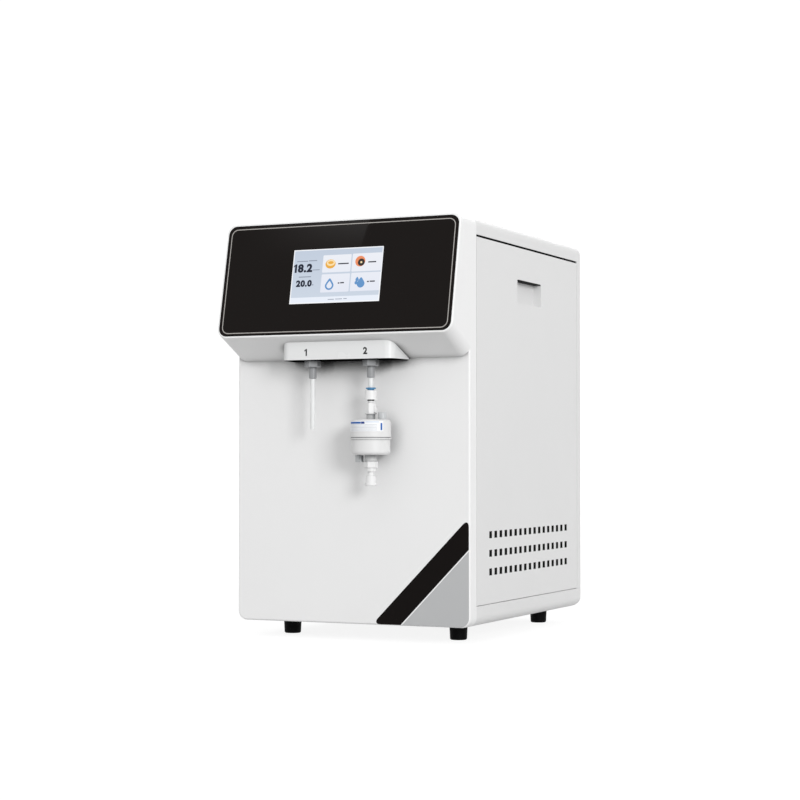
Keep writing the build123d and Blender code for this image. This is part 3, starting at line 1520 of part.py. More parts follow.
# Mains inlet: one moulding with the three-pin socket below and the switch's well above
socket_center = (inlet_x, inlet_center[1] - inlet_height / 4)
rocker_center = (inlet_x, inlet_center[1] + inlet_height / 4)
inlet_face_y = rear_y + inlet_flange
pivot_y = inlet_face_y - rocker_pivot_depth
with BuildPart() as mains_inlet:
    with BuildSketch(facing(rear_y)):
        with Locations(inlet_center):
            RectangleRounded(inlet_width + 2 * inlet_lip, inlet_height + 2 * inlet_lip, inlet_lip)
    extrude(amount=-inlet_flange)
    with BuildSketch(facing(rear_y)):
        with Locations(inlet_center):
            Rectangle(inlet_width - inlet_fit, inlet_height - inlet_fit)
    extrude(amount=inlet_body_depth)
    with BuildSketch(facing(inlet_face_y)):
        with Locations(socket_center):
            RectangleRounded(socket_width, socket_height, socket_corner)
    extrude(amount=socket_depth, mode=Mode.SUBTRACT)
    with BuildSketch(facing(inlet_face_y - socket_depth)):
        for pin_x, pin_z in socket_pins:
            with Locations((socket_center[0] + pin_x, socket_center[1] + pin_z)):
                Rectangle(socket_pin_width, socket_pin_height)
    extrude(amount=-(socket_depth - socket_pin_recess))
    with BuildSketch(facing(inlet_face_y)):
        with Locations(rocker_center):
            Rectangle(rocker_width + 2 * rocker_clearance,
                      rocker_height + 2 * rocker_clearance + rocker_sweep)
    extrude(amount=rocker_well_depth, mode=Mode.SUBTRACT)
    with BuildSketch(Plane.YZ.offset(inlet_x)):
        with Locations((pivot_y, rocker_center[1])):
            Circle(rocker_pin_radius + rocker_clearance / 2)
    extrude(amount=rocker_width / 2 + rocker_pin_length, both=True, mode=Mode.SUBTRACT)
keep(mains_inlet.part, "mains_inlet")

rocker_lean = math.radians(-rocker_swing / 2)
rocker_plane = Plane(
    origin=(inlet_x - rocker_width / 2, pivot_y, rocker_center[1]),
    x_dir=(0, math.cos(rocker_lean), math.sin(rocker_lean)),
    z_dir=(1, 0, 0),
)
with BuildPart() as switch_rocker:
    with BuildSketch(rocker_plane):
        with BuildLine():
            Polyline(
                (-rocker_root, -rocker_height / 4),
                (rocker_pivot_depth, -rocker_height / 2),
                (rocker_pivot_depth + rocker_crown, -rocker_height / 2),
                (rocker_pivot_depth, 0),
                (rocker_pivot_depth + rocker_crown, rocker_height / 2),
                (rocker_pivot_depth, rocker_height / 2),
                (-rocker_root, rocker_height / 4),
                close=True,
            )
        make_face()
    extrude(amount=rocker_width)
    with BuildSketch(Plane.YZ.offset(inlet_x)):
        with Locations((pivot_y, rocker_center[1])):
            Circle(rocker_pin_radius)
    extrude(amount=rocker_width / 2 + rocker_pin_length - rocker_clearance, both=True)
keep(switch_rocker.part, "switch_rocker")
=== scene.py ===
# %% [markdown]
# Laboratory water purifier
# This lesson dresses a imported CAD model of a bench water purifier. The model brings every rigid
# part at its true place in metres, so nothing is scaled or moved here. We set the camera and the
# light first, then give each part a finish, then model the thin things that CAD leaves out: the
# picture on the screen, printed bands, labels, rings and marks.

import math

import bmesh
import bpy
from mathutils import Matrix, Vector


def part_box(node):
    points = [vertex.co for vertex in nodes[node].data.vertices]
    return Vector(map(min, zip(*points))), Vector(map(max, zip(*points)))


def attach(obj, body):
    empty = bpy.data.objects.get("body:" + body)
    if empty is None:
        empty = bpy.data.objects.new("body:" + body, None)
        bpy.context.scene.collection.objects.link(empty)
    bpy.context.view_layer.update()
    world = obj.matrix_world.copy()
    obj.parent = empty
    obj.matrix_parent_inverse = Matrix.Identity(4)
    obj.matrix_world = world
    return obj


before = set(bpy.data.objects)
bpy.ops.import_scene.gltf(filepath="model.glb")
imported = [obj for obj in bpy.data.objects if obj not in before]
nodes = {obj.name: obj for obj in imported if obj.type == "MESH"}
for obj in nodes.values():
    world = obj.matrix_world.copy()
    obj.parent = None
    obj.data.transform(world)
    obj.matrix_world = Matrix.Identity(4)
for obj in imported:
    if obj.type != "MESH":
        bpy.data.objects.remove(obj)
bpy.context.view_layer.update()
MM = 0.001


def middle_of(name):
    """The middle of a node's box."""
    low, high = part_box(name)
    return (low + high) / 2


# %% [markdown]
# The camera
# The photograph was taken from the right of the object and from a little below its middle, with a
# long lens. The camera looks very slightly up, and its frame is shifted a little, as a crop does.
# The place is in metres in the same frame as the model.

# %% Camera
PHOTO_PIXELS = 800.0
AXIS_PIXEL = (404.0, 417.0)
FOCAL_PIXELS = 1936.7
CAMERA_TURN = math.radians(24.6)
CAMERA_RISE = math.radians(1.19)
CAMERA_PLACE = (1.1271, -2.4852, 0.2411)
SENSOR_MM = 36.0
FAR_LIMIT = 50.0


def set_camera():
    """One camera at the photograph's place and angle."""
    data = bpy.data.cameras.new("camera")
    data.sensor_width = SENSOR_MM
    data.lens = FOCAL_PIXELS / PHOTO_PIXELS * SENSOR_MM
    data.shift_x = -(AXIS_PIXEL[0] - PHOTO_PIXELS / 2) / PHOTO_PIXELS
    data.shift_y = (AXIS_PIXEL[1] - PHOTO_PIXELS / 2) / PHOTO_PIXELS
    data.clip_end = FAR_LIMIT
    camera = bpy.data.objects.new("camera", data)
    camera.location = CAMERA_PLACE
    camera.rotation_euler = (math.pi / 2 + CAMERA_RISE, 0.0, CAMERA_TURN)
    bpy.context.scene.collection.objects.link(camera)
    bpy.context.scene.camera = camera
    return camera


print("lens in mm:", round(set_camera().data.lens, 1))

# %% [markdown]
# Colours
# Blender mixes light in linear values, but colours are read off a screen as values from 0 to 255.
# A small function turns one into the other, so that every colour below can be written as it looks.


# %% Colour helper
def tint(*levels):
    """Screen values from 0 to 255, one for a grey or three, as Blender's linear colour."""
    if len(levels) == 1:
        levels *= 3
    linear = []
    for level in levels:
        share = level / 255
        linear.append(share / 12.92 if share <= 0.04045 else ((share + 0.055) / 1.055) ** 2.4)
    return (*linear, 1.0)


print("mid grey is", [round(v, 3) for v in tint(128)])

# %% [markdown]
# Shader nodes
# Each finish, and the light of the room too, is a small graph of nodes. A few helpers make a node,
# give each of its sockets a value or a link, and name the steps that come back often, so that the
# graphs below read as short lists.


# %% Node helpers
def fill(node, sockets):
    """Gives sockets of a node their value, or the link that feeds them."""
    for socket, value in sockets.items():
        if isinstance(value, bpy.types.NodeSocket):
            node.id_data.links.new(value, node.inputs[socket])
        else:
            node.inputs[socket].default_value = value


def add_node(tree, kind, sockets=None, **options):
    """A shader node with its options set and its sockets filled."""
    node = tree.nodes.new("ShaderNode" + kind)
    for option, choice in options.items():
        setattr(node, option, choice)
    fill(node, sockets or {})
    return node


def calc(tree, operation, *terms):
    """The result of one sum on values and links."""
    return add_node(tree, "Math", dict(enumerate(terms)), operation=operation).outputs[0]


def spread(tree, value, low=0.0, high=1.0, start=0.0, end=1.0, ease="LINEAR"):
    """A value that runs from start to end, spread over low to high and held there."""
    sockets = {"Value": value, "From Min": start, "From Max": end, "To Min": low, "To Max": high}
    return add_node(tree, "MapRange", sockets, interpolation_type=ease).outputs["Result"]


def axes(tree, source="Object"):
    """The X, Y and Z of the point that is shaded, in the object's own coordinates."""
    place = add_node(tree, "TexCoord").outputs[source]
    return add_node(tree, "SeparateXYZ", {0: place}).outputs


def mix_colors(tree, factor, first, second):
    """A colour that a factor moves from the first to the second."""
    return add_node(tree, "Mix", {0: factor, 6: first, 7: second}, data_type="RGBA").outputs[2]


def mix_shaders(tree, factor, first, second):
    """The first shader where the factor is 0 and the second where it is 1."""
    return add_node(tree, "MixShader", {0: factor, 1: first, 2: second}).outputs[0]


def add_shaders(tree, first, second):
    """Both shaders at once."""
    return add_node(tree, "AddShader", {0: first, 1: second}).outputs[0]


def start_material(name):
    """A new node material and its shader."""
    material = bpy.data.materials.new(name)
    material.use_nodes = True
    tree = material.node_tree
    return material, tree, tree.nodes["Principled BSDF"]


def studio_material(name):
    """A new material with an empty graph, for what stands round the object."""
    material, tree, _ = start_material(name)
    tree.nodes.clear()
    return material, tree


print("node helpers ready")

# %% [markdown]
# The studio
# The photograph is a cut-out on white, lit from all round with large soft lamps. The floor and the
# wall behind are one pale sweep, so there is no line where they meet. To the camera, to mirrors and
# through clear parts it is pale paper with a glow added, which makes it white and keeps a soft
# shadow on it. To all other light it is greyer, so that little light comes back up from it.

# %% Floor and backdrop
SWEEP_FRONT = -4.0
SWEEP_REAR = 3.0
SWEEP_SIDE = 5.0
SWEEP_TOP = 4.0
SWEEP_BEND = 1.2
SWEEP_STEPS = 16
SWEEP_GLOW = 0.88
SWEEP_PAPER = 0.18
SWEEP_BOUNCE = 0.5


def make_object(name, bm, material):
    """A bmesh, which holds its place, as a smooth object at the origin."""
    mesh = bpy.data.meshes.new(name)
    bm.to_mesh(mesh)
    bm.free()
    for polygon in mesh.polygons:
        polygon.use_smooth = True
    mesh.materials.append(material)
    made = bpy.data.objects.new(name, mesh)
    bpy.context.scene.collection.objects.link(made)
    return made


def sweep_material():
    """A white that still takes a shadow."""
    material, tree = studio_material("studio_white")
    rays = add_node(tree, "LightPath").outputs
    seen = calc(tree, "MAXIMUM", rays["Is Camera Ray"], rays["Is Glossy Ray"])
    through = calc(tree, "MAXIMUM", seen, rays["Is Transmission Ray"])
    tone = spread(tree, through, SWEEP_BOUNCE, SWEEP_PAPER)
    paper = add_node(tree, "BsdfDiffuse", {"Color": tone})
    glow = add_node(tree, "Emission", {"Strength": spread(tree, through, 0.0, SWEEP_GLOW)})
    both = add_shaders(tree, paper.outputs[0], glow.outputs[0])
    add_node(tree, "OutputMaterial", {"Surface": both})
    return material


def build_sweep():
    """The floor and the wall behind it, as one bent sheet."""
    bm = bmesh.new()
    line = [bm.verts.new((-SWEEP_SIDE, SWEEP_FRONT, 0.0))]
    for step in range(SWEEP_STEPS + 1):
        angle = math.pi / 2 * step / SWEEP_STEPS
        y = SWEEP_REAR - SWEEP_BEND + SWEEP_BEND * math.sin(angle)
        line.append(bm.verts.new((-SWEEP_SIDE, y, SWEEP_BEND - SWEEP_BEND * math.cos(angle))))
    line.append(bm.verts.new((-SWEEP_SIDE, SWEEP_REAR, SWEEP_TOP)))
    edges = [bm.edges.new(pair) for pair in zip(line, line[1:])]
    wide = bmesh.ops.extrude_edge_only(bm, edges=edges)
    moved = [item for item in wide["geom"] if isinstance(item, bmesh.types.BMVert)]
    bmesh.ops.translate(bm, verts=moved, vec=(2 * SWEEP_SIDE, 0.0, 0.0))
    bmesh.ops.recalc_face_normals(bm, faces=bm.faces)
    sweep = make_object("studio_sweep", bm, sweep_material())
    return sweep


print("sweep faces:", len(build_sweep().data.polygons))

# %% [markdown]
# Lamps
# One large soft lamp stands in front and to the right, and high. It throws the small soft shadows
# to the left of the outlets and under the dispensing block. The world lights the rest, a little
# more from the front than from behind, and a weaker lamp behind lifts the back. The levels are set
# so that a colour renders about as it is written.

# %% Lamps and world
WORLD_LEVEL = 0.79
WORLD_FRONT = 0.19
MIDDLE = (0.0, -0.1, 0.3)
LAMPS = {
    "main_lamp": {"place": (6.08, -5.06, 2.38), "side": 2.4, "watts": 312.0},
    "rear_lamp": {"place": (-0.9, 2.7, 1.2), "side": 2.0, "watts": 34.0},
}


def add_lamp(name, place, side, watts):
    """A square soft lamp that faces the object's middle."""
    data = bpy.data.lights.new(name, "AREA")
    data.shape = "RECTANGLE"
    data.size = data.size_y = side
    data.energy = watts
    lamp = bpy.data.objects.new(name, data)
    lamp.location = place
    lamp.rotation_euler = (Vector(MIDDLE) - Vector(place)).to_track_quat("-Z", "Y").to_euler()
    lamp.visible_camera = False
    bpy.context.scene.collection.objects.link(lamp)


def set_world():
    """Soft light from all round, and plain white where the camera looks past the sweep."""
    world = bpy.data.worlds.new("studio")
    bpy.context.scene.world = world
    world.use_nodes = True
    tree = world.node_tree
    tree.nodes.clear()
    levels = (WORLD_LEVEL + WORLD_FRONT, WORLD_LEVEL - WORLD_FRONT)
    level = spread(tree, axes(tree, "Generated")["Y"], *levels, start=-1.0)
    light = add_node(tree, "Background", {"Color": tint(255), "Strength": level})
    white = add_node(tree, "Background", {"Color": tint(255), "Strength": 1.0})
    seen = add_node(tree, "LightPath").outputs["Is Camera Ray"]
    both = mix_shaders(tree, seen, light.outputs[0], white.outputs[0])
    add_node(tree, "OutputWorld", {"Surface": both})


set_world()
for name, facts in LAMPS.items():
    add_lamp(name, **facts)
bpy.context.scene.view_settings.view_transform = "Standard"
print("lamps:", list(LAMPS))

# %% [markdown]
# The card in the glass
# The photograph's glass mirrors the edge of a bright card: a faint wedge at its upper middle, with
# one sharp slanting side, that fades to the left and down. A card stands in front and to the left,
# where the leaning glass mirrors it to the camera. Only mirror rays see it, so it lights nothing.

# %% Mirror card
CARD_Y = -2.2
CARD_RIGHT_LOW = (-1.078, 1.62)
CARD_RIGHT_HIGH = (-1.054, 1.81)
CARD_LEFT = -1.45
CARD_LEVEL = 2.4


def card_material():
    """A glow that grows to the right and up, for mirror rays only."""
    material, tree = studio_material("mirror_card")
    material.cycles.emission_sampling = "NONE"
    place = axes(tree)
    ramps = (
        ("X", CARD_LEFT, CARD_RIGHT_HIGH[0]), ("Z", CARD_RIGHT_LOW[1], CARD_RIGHT_HIGH[1]),
    )
    level = CARD_LEVEL
    for axis, start, end in ramps:
        climb = spread(tree, place[axis], start=start, end=end, ease="SMOOTHSTEP")
        level = calc(tree, "MULTIPLY", climb, level)
    glow = add_node(tree, "Emission", {"Strength": level})
    clear = add_node(tree, "BsdfTransparent").outputs[0]
    mirrored = add_node(tree, "LightPath").outputs["Is Glossy Ray"]
    both = mix_shaders(tree, mirrored, clear, add_shaders(tree, glow.outputs[0], clear))
    add_node(tree, "OutputMaterial", {"Surface": both})
    return material


bm = bmesh.new()
corners = (
    (CARD_LEFT, CARD_RIGHT_LOW[1]), CARD_RIGHT_LOW, CARD_RIGHT_HIGH,
    (CARD_LEFT, CARD_RIGHT_HIGH[1]),
)
bm.faces.new([bm.verts.new((x, CARD_Y, z)) for x, z in corners])
card = make_object("mirror_card", bm, card_material())
print("card stands at y", CARD_Y)

# %% [markdown]
# A recipe for plain finishes
# Moulded plastic and powder coat are never one flat colour. A slow noise moves the tone a little,
# a second one moves the gloss, and a fine one gives the surface its grain. One recipe with these
# three layers serves most parts, and each finish below changes its numbers. Where surfaces stand
# close together, little light gets in and the photograph is darker than soft studio light alone
# makes it, so some finishes get a painted shade in such tight spots: a deeper tone there.

# %% Finish recipe
TONE_SCALE = 9.0
GLOSS_SCALE = 40.0
GRAIN_DEPTH = 0.2 * MM
EVEN = (1.0, 1.0, 1.0)
TIGHT_SAMPLES = 8


def add_noise(tree, scale, detail=3.0, stretch=EVEN):
    """A noise on the object's own coordinates, where stretch can draw it out along an axis."""
    place = add_node(tree, "TexCoord").outputs["Object"]
    turn = add_node(tree, "Mapping", {"Scale": stretch, "Vector": place}).outputs["Vector"]
    sockets = {"Scale": scale, "Detail": detail, "Vector": turn}
    return add_node(tree, "TexNoise", sockets).outputs["Fac"]


def plain_finish(name, light, dark, gloss, grain, relief, stretch=EVEN, more=None):
    """Two close tones, a gloss that wanders and a fine grain; more holds other sockets."""
    material, tree, shader = start_material(name)
    tone = add_noise(tree, TONE_SCALE, stretch=stretch)
    sheen = add_noise(tree, GLOSS_SCALE, stretch=stretch)
    height = add_noise(tree, grain, 2.0, stretch)
    bump = add_node(tree, "Bump", {"Strength": relief, "Distance": GRAIN_DEPTH, "Height": height})
    fill(shader, {
        "Base Color": mix_colors(tree, tone, light, dark),
        "Roughness": spread(tree, sheen, *gloss),
        "Normal": bump.outputs["Normal"],
        **(more or {}),
    })
    return material


def blend_base(material, amount, color):
    """Moves a material's base colour towards another, by an amount from 0 to 1."""
    tree = material.node_tree
    base = tree.nodes["Principled BSDF"].inputs["Base Color"]
    tree.links.new(mix_colors(tree, amount, base.links[0].from_socket, color), base)


def shade_tight_spots(material, deep, reach, ease, fade=None):
    """Painted shade: a deeper base colour where other surfaces stand within reach. Ease says how
    open a spot is where that starts and where it is full; fade holds two heights and the share
    left below the first."""
    tree = material.node_tree
    near = add_node(tree, "AmbientOcclusion", {"Distance": reach}, samples=TIGHT_SAMPLES)
    amount = spread(tree, near.outputs["AO"], start=ease[0], end=ease[1])
    if fade:
        low, high, share = fade
        below = spread(tree, axes(tree)["Z"], low=share, start=low, end=high)
        amount = calc(tree, "MULTIPLY", amount, below)
    blend_base(material, amount, deep)


def wear(material, *names):
    """Give CAD nodes their finish."""
    for name in names:
        slots = nodes[name].data.materials
        slots.clear()
        slots.append(material)


print("recipe ready")

# %% [markdown]
# Cabinet white
# The moulded front and the coated sheet panels are nearly the same white. The moulding is smooth
# with a soft gloss, while powder coat has a faint orange peel, so the two get their own grain. The
# front has a painted shade where the dispensing block meets it, and most of that shade fades out
# further down. The vents look black right through, so the cut walls of the side panels' vents are
# painted black as shade too.

# %% Cabinet finishes
FRONT_COVER_DEPTH = 21.5 * MM
VENT_MIDDLE = (214.7 * MM, 93.1 * MM)
VENT_FIELD = (312.0 * MM, 72.0 * MM)
VENT_BORDER = 3.0 * MM
VENT_SKIN = 0.1 * MM
BLOCK_SHADE_REACH = 24.0 * MM
BLOCK_SHADE_EASE = (0.88, 0.5)
BLOCK_FADE_LOW, BLOCK_FADE_HIGH, BLOCK_SHARE = 45.0 * MM, 22.0 * MM, 0.18
POWDER_COAT = (tint(220), tint(217), (0.42, 0.5), 520.0, 0.08)
tray_low, tray_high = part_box("base_tray")
front_y = tray_low.y - FRONT_COVER_DEPTH
base_z = tray_low.z
half_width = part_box("right_side_panel")[1].x
block_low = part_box("dispense_block")[0]


def paint_vent_wall_shade(material):
    """Painted shade: black under a side panel's skin within its vent field, on the walls of the
    vents.
    """
    tree = material.node_tree
    place = axes(tree)
    inside = 1.0
    for axis, middle, reach in (
        ("X", 0.0, half_width - VENT_SKIN),
        ("Y", front_y + VENT_MIDDLE[0], VENT_FIELD[0] / 2 - VENT_BORDER),
        ("Z", base_z + VENT_MIDDLE[1], VENT_FIELD[1] / 2 - VENT_BORDER),
    ):
        within = calc(tree, "COMPARE", place[axis], middle, reach)
        inside = calc(tree, "MULTIPLY", within, inside)
    blend_base(material, inside, tint(10))


shell_white = plain_finish("shell_white", tint(234), tint(231), (0.34, 0.42), 900.0, 0.03)
# Painted shade: the front's colour deepens under the dispensing block and mostly fades out below.
block_shade_fade = (block_low.z - BLOCK_FADE_LOW, block_low.z - BLOCK_FADE_HIGH, BLOCK_SHARE)
shade_tight_spots(shell_white, tint(36), BLOCK_SHADE_REACH, BLOCK_SHADE_EASE, block_shade_fade)
side_white = plain_finish("side_white", *POWDER_COAT)
# Painted shade: the side panels' vent walls are black.
paint_vent_wall_shade(side_white)
wear(shell_white, "front_cover")
wear(side_white, "right_side_panel", "left_side_panel")
wear(plain_finish("panel_white", *POWDER_COAT), "top_cover", "base_tray", "rear_panel")
wear(plain_finish("cup_white", tint(220), tint(215), (0.5, 0.58), 800.0, 0.06),
     "right_pull_cup", "left_pull_cup")
wear(plain_finish("block_white", tint(227, 228, 228), tint(224, 225, 225), (0.22, 0.3), 900.0,
                  0.03),
     "dispense_block")
print("cabinet finishes set")

# %% [markdown]
# Outlet and capsule plastics
# The nuts are a mid grey moulding. The tube and the coupling are milky white, and the two small
# plugs let a little light through. The capsule cups are a soft white that light enters slightly.

# %% Fitting finishes
TIGHT_REACH = 22.0 * MM
MILK_DEPTH = 3.0 * MM
MILK_SHADE = tint(118, 121, 123)


def milky(name, light, dark, gloss, share, ease=(0.6, 0.1)):
    """White plastic that light enters a little, with a painted shade deepening it in tight spots.
    """
    light_inside = {"Subsurface Weight": share, "Subsurface Radius": (MILK_DEPTH,) * 3}
    material = plain_finish(name, light, dark, gloss, 700.0, 0.03, more=light_inside)
    shade_tight_spots(material, MILK_SHADE, TIGHT_REACH, ease)
    return material


nut_grey = plain_finish(
    "nut_grey", tint(150, 151, 153), tint(141, 143, 145), (0.26, 0.34), 700.0, 0.08
)
# Painted shade: the nuts' grey deepens in tight spots.
shade_tight_spots(nut_grey, tint(60, 61, 63), TIGHT_REACH, (0.85, 0.3))
collet_blue = plain_finish(
    "collet_blue", tint(70, 134, 176), tint(58, 122, 164), (0.3, 0.38), 700.0, 0.04
)
wear(nut_grey, "left_outlet_fitting", "right_outlet_fitting")
wear(milky("tube_milk", tint(230, 231, 231), tint(224, 226, 226), (0.25, 0.33), 0.3),
     "left_outlet_tube", "right_outlet_tube", "raw_water_tubing", "waste_tubing",
     "permeate_tubing", "resin_water_tubing")
wear(milky("fitting_milk", tint(232), tint(226), (0.3, 0.38), 0.1), "coupling_body",
     "outlet_adapter", "bell_outlet", "rear_ports", "permeate_tees", "conductivity_cell")
wear(milky("capsule_milk", tint(222), tint(217), (0.4, 0.48), 0.1, (0.88, 0.3)),
     "capsule_upper_housing", "capsule_lower_housing")
wear(milky("plug_milk", tint(196, 198, 199), tint(184, 187, 189), (0.3, 0.4), 0.3),
     "capsule_vent_plug", "capsule_drain_plug")
wear(collet_blue, "coupling_collet")
print("fitting finishes set")

# %% [markdown]
# Inside the cabinet
# Behind the panels the finishes are those of the trade: zinc sheet with a faint brushed grain,
# smooth white tanks, dark spring clips and a black pump. They show when a side panel is tilted
# out. The capsule's pleated membrane is a matt, paper-like web.

# %% Inner finishes
ALONG_Y = (1.0, 0.12, 1.0)
ALONG_X = (0.12, 1.0, 1.0)
screw_steel = plain_finish(
    "screw_steel", tint(188, 189, 190), tint(168, 169, 170), (0.28, 0.4), 800.0, 0.1,
    more={"Metallic": 1.0},
)
wear(screw_steel, "pan_head_screws")
wear(plain_finish("zinc_sheet", tint(196, 198, 200), tint(178, 180, 183), (0.3, 0.46), 600.0, 0.1,
                  ALONG_Y, {"Metallic": 0.9}),
     "right_top_rail", "left_top_rail", "partition_plate", "valve_shelf", "pump_bracket")
wear(plain_finish("supply_metal", tint(200, 201, 203), tint(186, 188, 190), (0.34, 0.48), 600.0,
                  0.1, ALONG_X, {"Metallic": 0.85}),
     "power_supply")
wear(plain_finish("tank_white", tint(238, 238, 236), tint(232, 232, 230), (0.26, 0.34), 500.0,
                  0.04),
     "sediment_cartridge", "carbon_cartridge", "first_resin_cartridge",
     "second_resin_cartridge", "membrane_housing", "inlet_valve", "flush_valve")
wear(plain_finish("clip_dark", tint(64, 66, 68), tint(54, 56, 58), (0.42, 0.54), 700.0, 0.1),
     "cartridge_clips", "catch_clips", "right_catch_studs", "left_catch_studs")
wear(plain_finish("pump_black", tint(38, 38, 39), tint(30, 30, 31), (0.4, 0.55), 500.0, 0.16),
     "pump_head")
wear(plain_finish("motor_black", tint(44, 44, 46), tint(36, 36, 38), (0.26, 0.36), 420.0, 0.08),
     "pump_motor", "display_module")
wear(plain_finish("foot_rubber", tint(7, 7, 8), tint(3, 3, 4), (0.45, 0.6), 650.0, 0.25,
                  more={"Specular IOR Level": 0.06}),
     "front_left_foot", "front_right_foot", "rear_left_foot", "rear_right_foot")
wear(plain_finish("inlet_black", tint(32, 32, 33), tint(24, 24, 25), (0.36, 0.48), 700.0, 0.12),
     "mains_inlet")
wear(plain_finish("rocker_black", tint(28, 28, 29), tint(22, 22, 23), (0.2, 0.28), 800.0, 0.04),
     "switch_rocker")
wear(plain_finish("membrane_web", tint(240, 240, 234), tint(230, 230, 224), (0.8, 0.9), 900.0,
                  0.3),
     "capsule_membrane")
print("inner finishes set")

# %% [markdown]
# The board
# The board is green where it is bare and dark on its components, which stand out from it, so its
# colour is chosen by the distance from the board.

# %% Board finish
BOARD_FACE = 9.7 * MM
TRACE_SCALE = 160.0


def board_finish():
    """Green lacquer on the board and dark moulded components above it."""
    material, tree, shader = start_material("board_green")
    traces = add_noise(tree, TRACE_SCALE, 1.0)
    lacquer = mix_colors(tree, traces, tint(20, 92, 52), tint(36, 120, 70))
    fill(shader, {"Base Color": lacquer, "Roughness": 0.38})
    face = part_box("control_board")[1].x - BOARD_FACE
    blend_base(material, calc(tree, "LESS_THAN", axes(tree)["X"], face), tint(38, 38, 40))
    return material


wear(board_finish(), "control_board")
print("board set")

# %% [markdown]
# The glass
# The head's face is one sheet of glass, printed black-brown on its back. The print is nearly flat
# in colour; what one sees is the room in its polished face. So the base is very dark, and the
# gloss is high, with a low share of mirror light because the room here is all white.


# %% Glass finish
def glass_finish():
    """Dark back-printed glass."""
    material, tree, shader = start_material("printed_glass")
    fill(shader, {
        "Base Color": mix_colors(tree, add_noise(tree, 6.0), tint(14, 9, 7), tint(17, 12, 10)),
        "Roughness": spread(tree, add_noise(tree, 30.0), 0.015, 0.03),
        "Specular IOR Level": 0.11,
    })
    return material


wear(glass_finish(), "glass_panel")
print("glass set")

# %% [markdown]
# Helpers for new pieces
# Each new piece rides on a body of the model and holds one material. A rounded plate is a one-face
# grid with bevelled corners, drawn out to its thickness, and the base of most prints.

# %% Piece helpers
WELD = MM / 1000
SHARP = math.radians(35)
STAND = Matrix.Rotation(math.pi / 2, 4, "X")
SIDEWAYS = Matrix.Rotation(math.pi / 2, 4, "Y")
shift = Matrix.Translation


def finish_piece(name, bm, material, body="cabinet"):
    """A bmesh becomes an object that rides on a body."""
    bmesh.ops.remove_doubles(bm, verts=bm.verts, dist=WELD)
    bmesh.ops.recalc_face_normals(bm, faces=bm.faces)
    piece = make_object(name, bm, material)
    piece.data.set_sharp_from_angle(angle=SHARP)
    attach(piece, body)


def thicken(bm, thickness, faces=None):
    """Draws flat faces, all or some, out along +Z."""
    made = bmesh.ops.extrude_face_region(bm, geom=faces or list(bm.faces))
    top = [item for item in made["geom"] if isinstance(item, bmesh.types.BMVert)]
    bmesh.ops.translate(bm, verts=top, vec=(0.0, 0.0, thickness))


def round_corners(bm, corners, radius, steps=6):
    """Rounds corners of a flat outline."""
    bmesh.ops.bevel(
        bm, geom=corners, offset=radius, offset_type="OFFSET", segments=steps, profile=0.5,
        affect="VERTICES", material=-1,
    )


def add_face(bm, width, height, x=0.0, y=0.0):
    """A rectangle in the XY plane."""
    verts = bmesh.ops.create_grid(bm, x_segments=1, y_segments=1, size=0.5)["verts"]
    bmesh.ops.scale(bm, verts=verts, vec=(width, height, 1.0))
    bmesh.ops.translate(bm, verts=verts, vec=(x, y, 0.0))


def add_bar(bm, size, spot):
    """A bar with its middle at a spot."""
    verts = bmesh.ops.create_cube(bm, size=1.0)["verts"]
    bmesh.ops.scale(bm, verts=verts, vec=size)
    bmesh.ops.translate(bm, verts=verts, vec=spot)


def rounded_face(width, height, radius):
    """A rounded rectangle in the XY plane, centred on the origin."""
    bm = bmesh.new()
    add_face(bm, width, height)
    if radius:
        round_corners(bm, list(bm.verts), radius)
    return bm


def plate(width, height, radius, thickness):
    """A rounded plate in the XY plane, centred on the origin."""
    bm = rounded_face(width, height, radius)
    thicken(bm, thickness)
    return bm


def paint(name, light, dark, gloss=(0.4, 0.5), mirror=0.3):
    """A printed or plain coloured finish that mirrors little."""
    return plain_finish(
        name, light, dark, gloss, 900.0, 0.02, more={"Specular IOR Level": mirror}
    )


print("helpers ready")

# %% [markdown]
# Figures
# The readings and the outlet numbers are plain figures. Most come from Blender's own text. The
# photograph's figure 1 has a flag, so the 1 is drawn here, from a seven-cornered outline.

# %% Figures
LETTER_SPACE = 1.12
FLAG_REACH = 0.2
FLAG_DROP = 0.2
FLAG_TIP = 0.6
FLAG_DEPTH = 0.9


def lettering(text, size, thickness, weight=0.0, width=1.0):
    """Plain figures as a bmesh in the XY plane, centred; width widens them."""
    curve = bpy.data.curves.new("figures", "FONT")
    curve.body = text
    curve.size = size
    curve.align_x = curve.align_y = "CENTER"
    curve.offset = weight
    curve.space_character = LETTER_SPACE
    curve.extrude = thickness / 2
    holder = bpy.data.objects.new("figures", curve)
    bpy.context.scene.collection.objects.link(holder)
    bpy.context.view_layer.update()
    mesh = bpy.data.meshes.new_from_object(holder)
    bm = bmesh.new()
    bm.from_mesh(mesh)
    bpy.data.objects.remove(holder)
    bpy.data.meshes.remove(mesh)
    bmesh.ops.scale(bm, verts=bm.verts, vec=(width, 1.0, 1.0))
    return bm


def extent(bm, axis):
    """The lowest and highest coordinate along an axis."""
    values = [vert.co[axis] for vert in bm.verts]
    return min(values), max(values)


def add_one(bm, height, stroke, thickness, x=0.0, y=0.0):
    """A plain figure 1 with a flag, in the XY plane: its right edge at x, its middle at y."""
    tip, rise = -(stroke + FLAG_REACH * height), height * (1 - FLAG_DROP)
    outline = (
        (0.0, 0.0), (0.0, height), (-FLAG_TIP * stroke, height), (tip, rise),
        (tip, rise - FLAG_DEPTH * stroke), (-stroke, rise), (-stroke, 0.0),
    )
    corners = [(x + across, y + up - height / 2, -thickness / 2) for across, up in outline]
    thicken(bm, thickness, [bm.faces.new([bm.verts.new(corner) for corner in corners])])


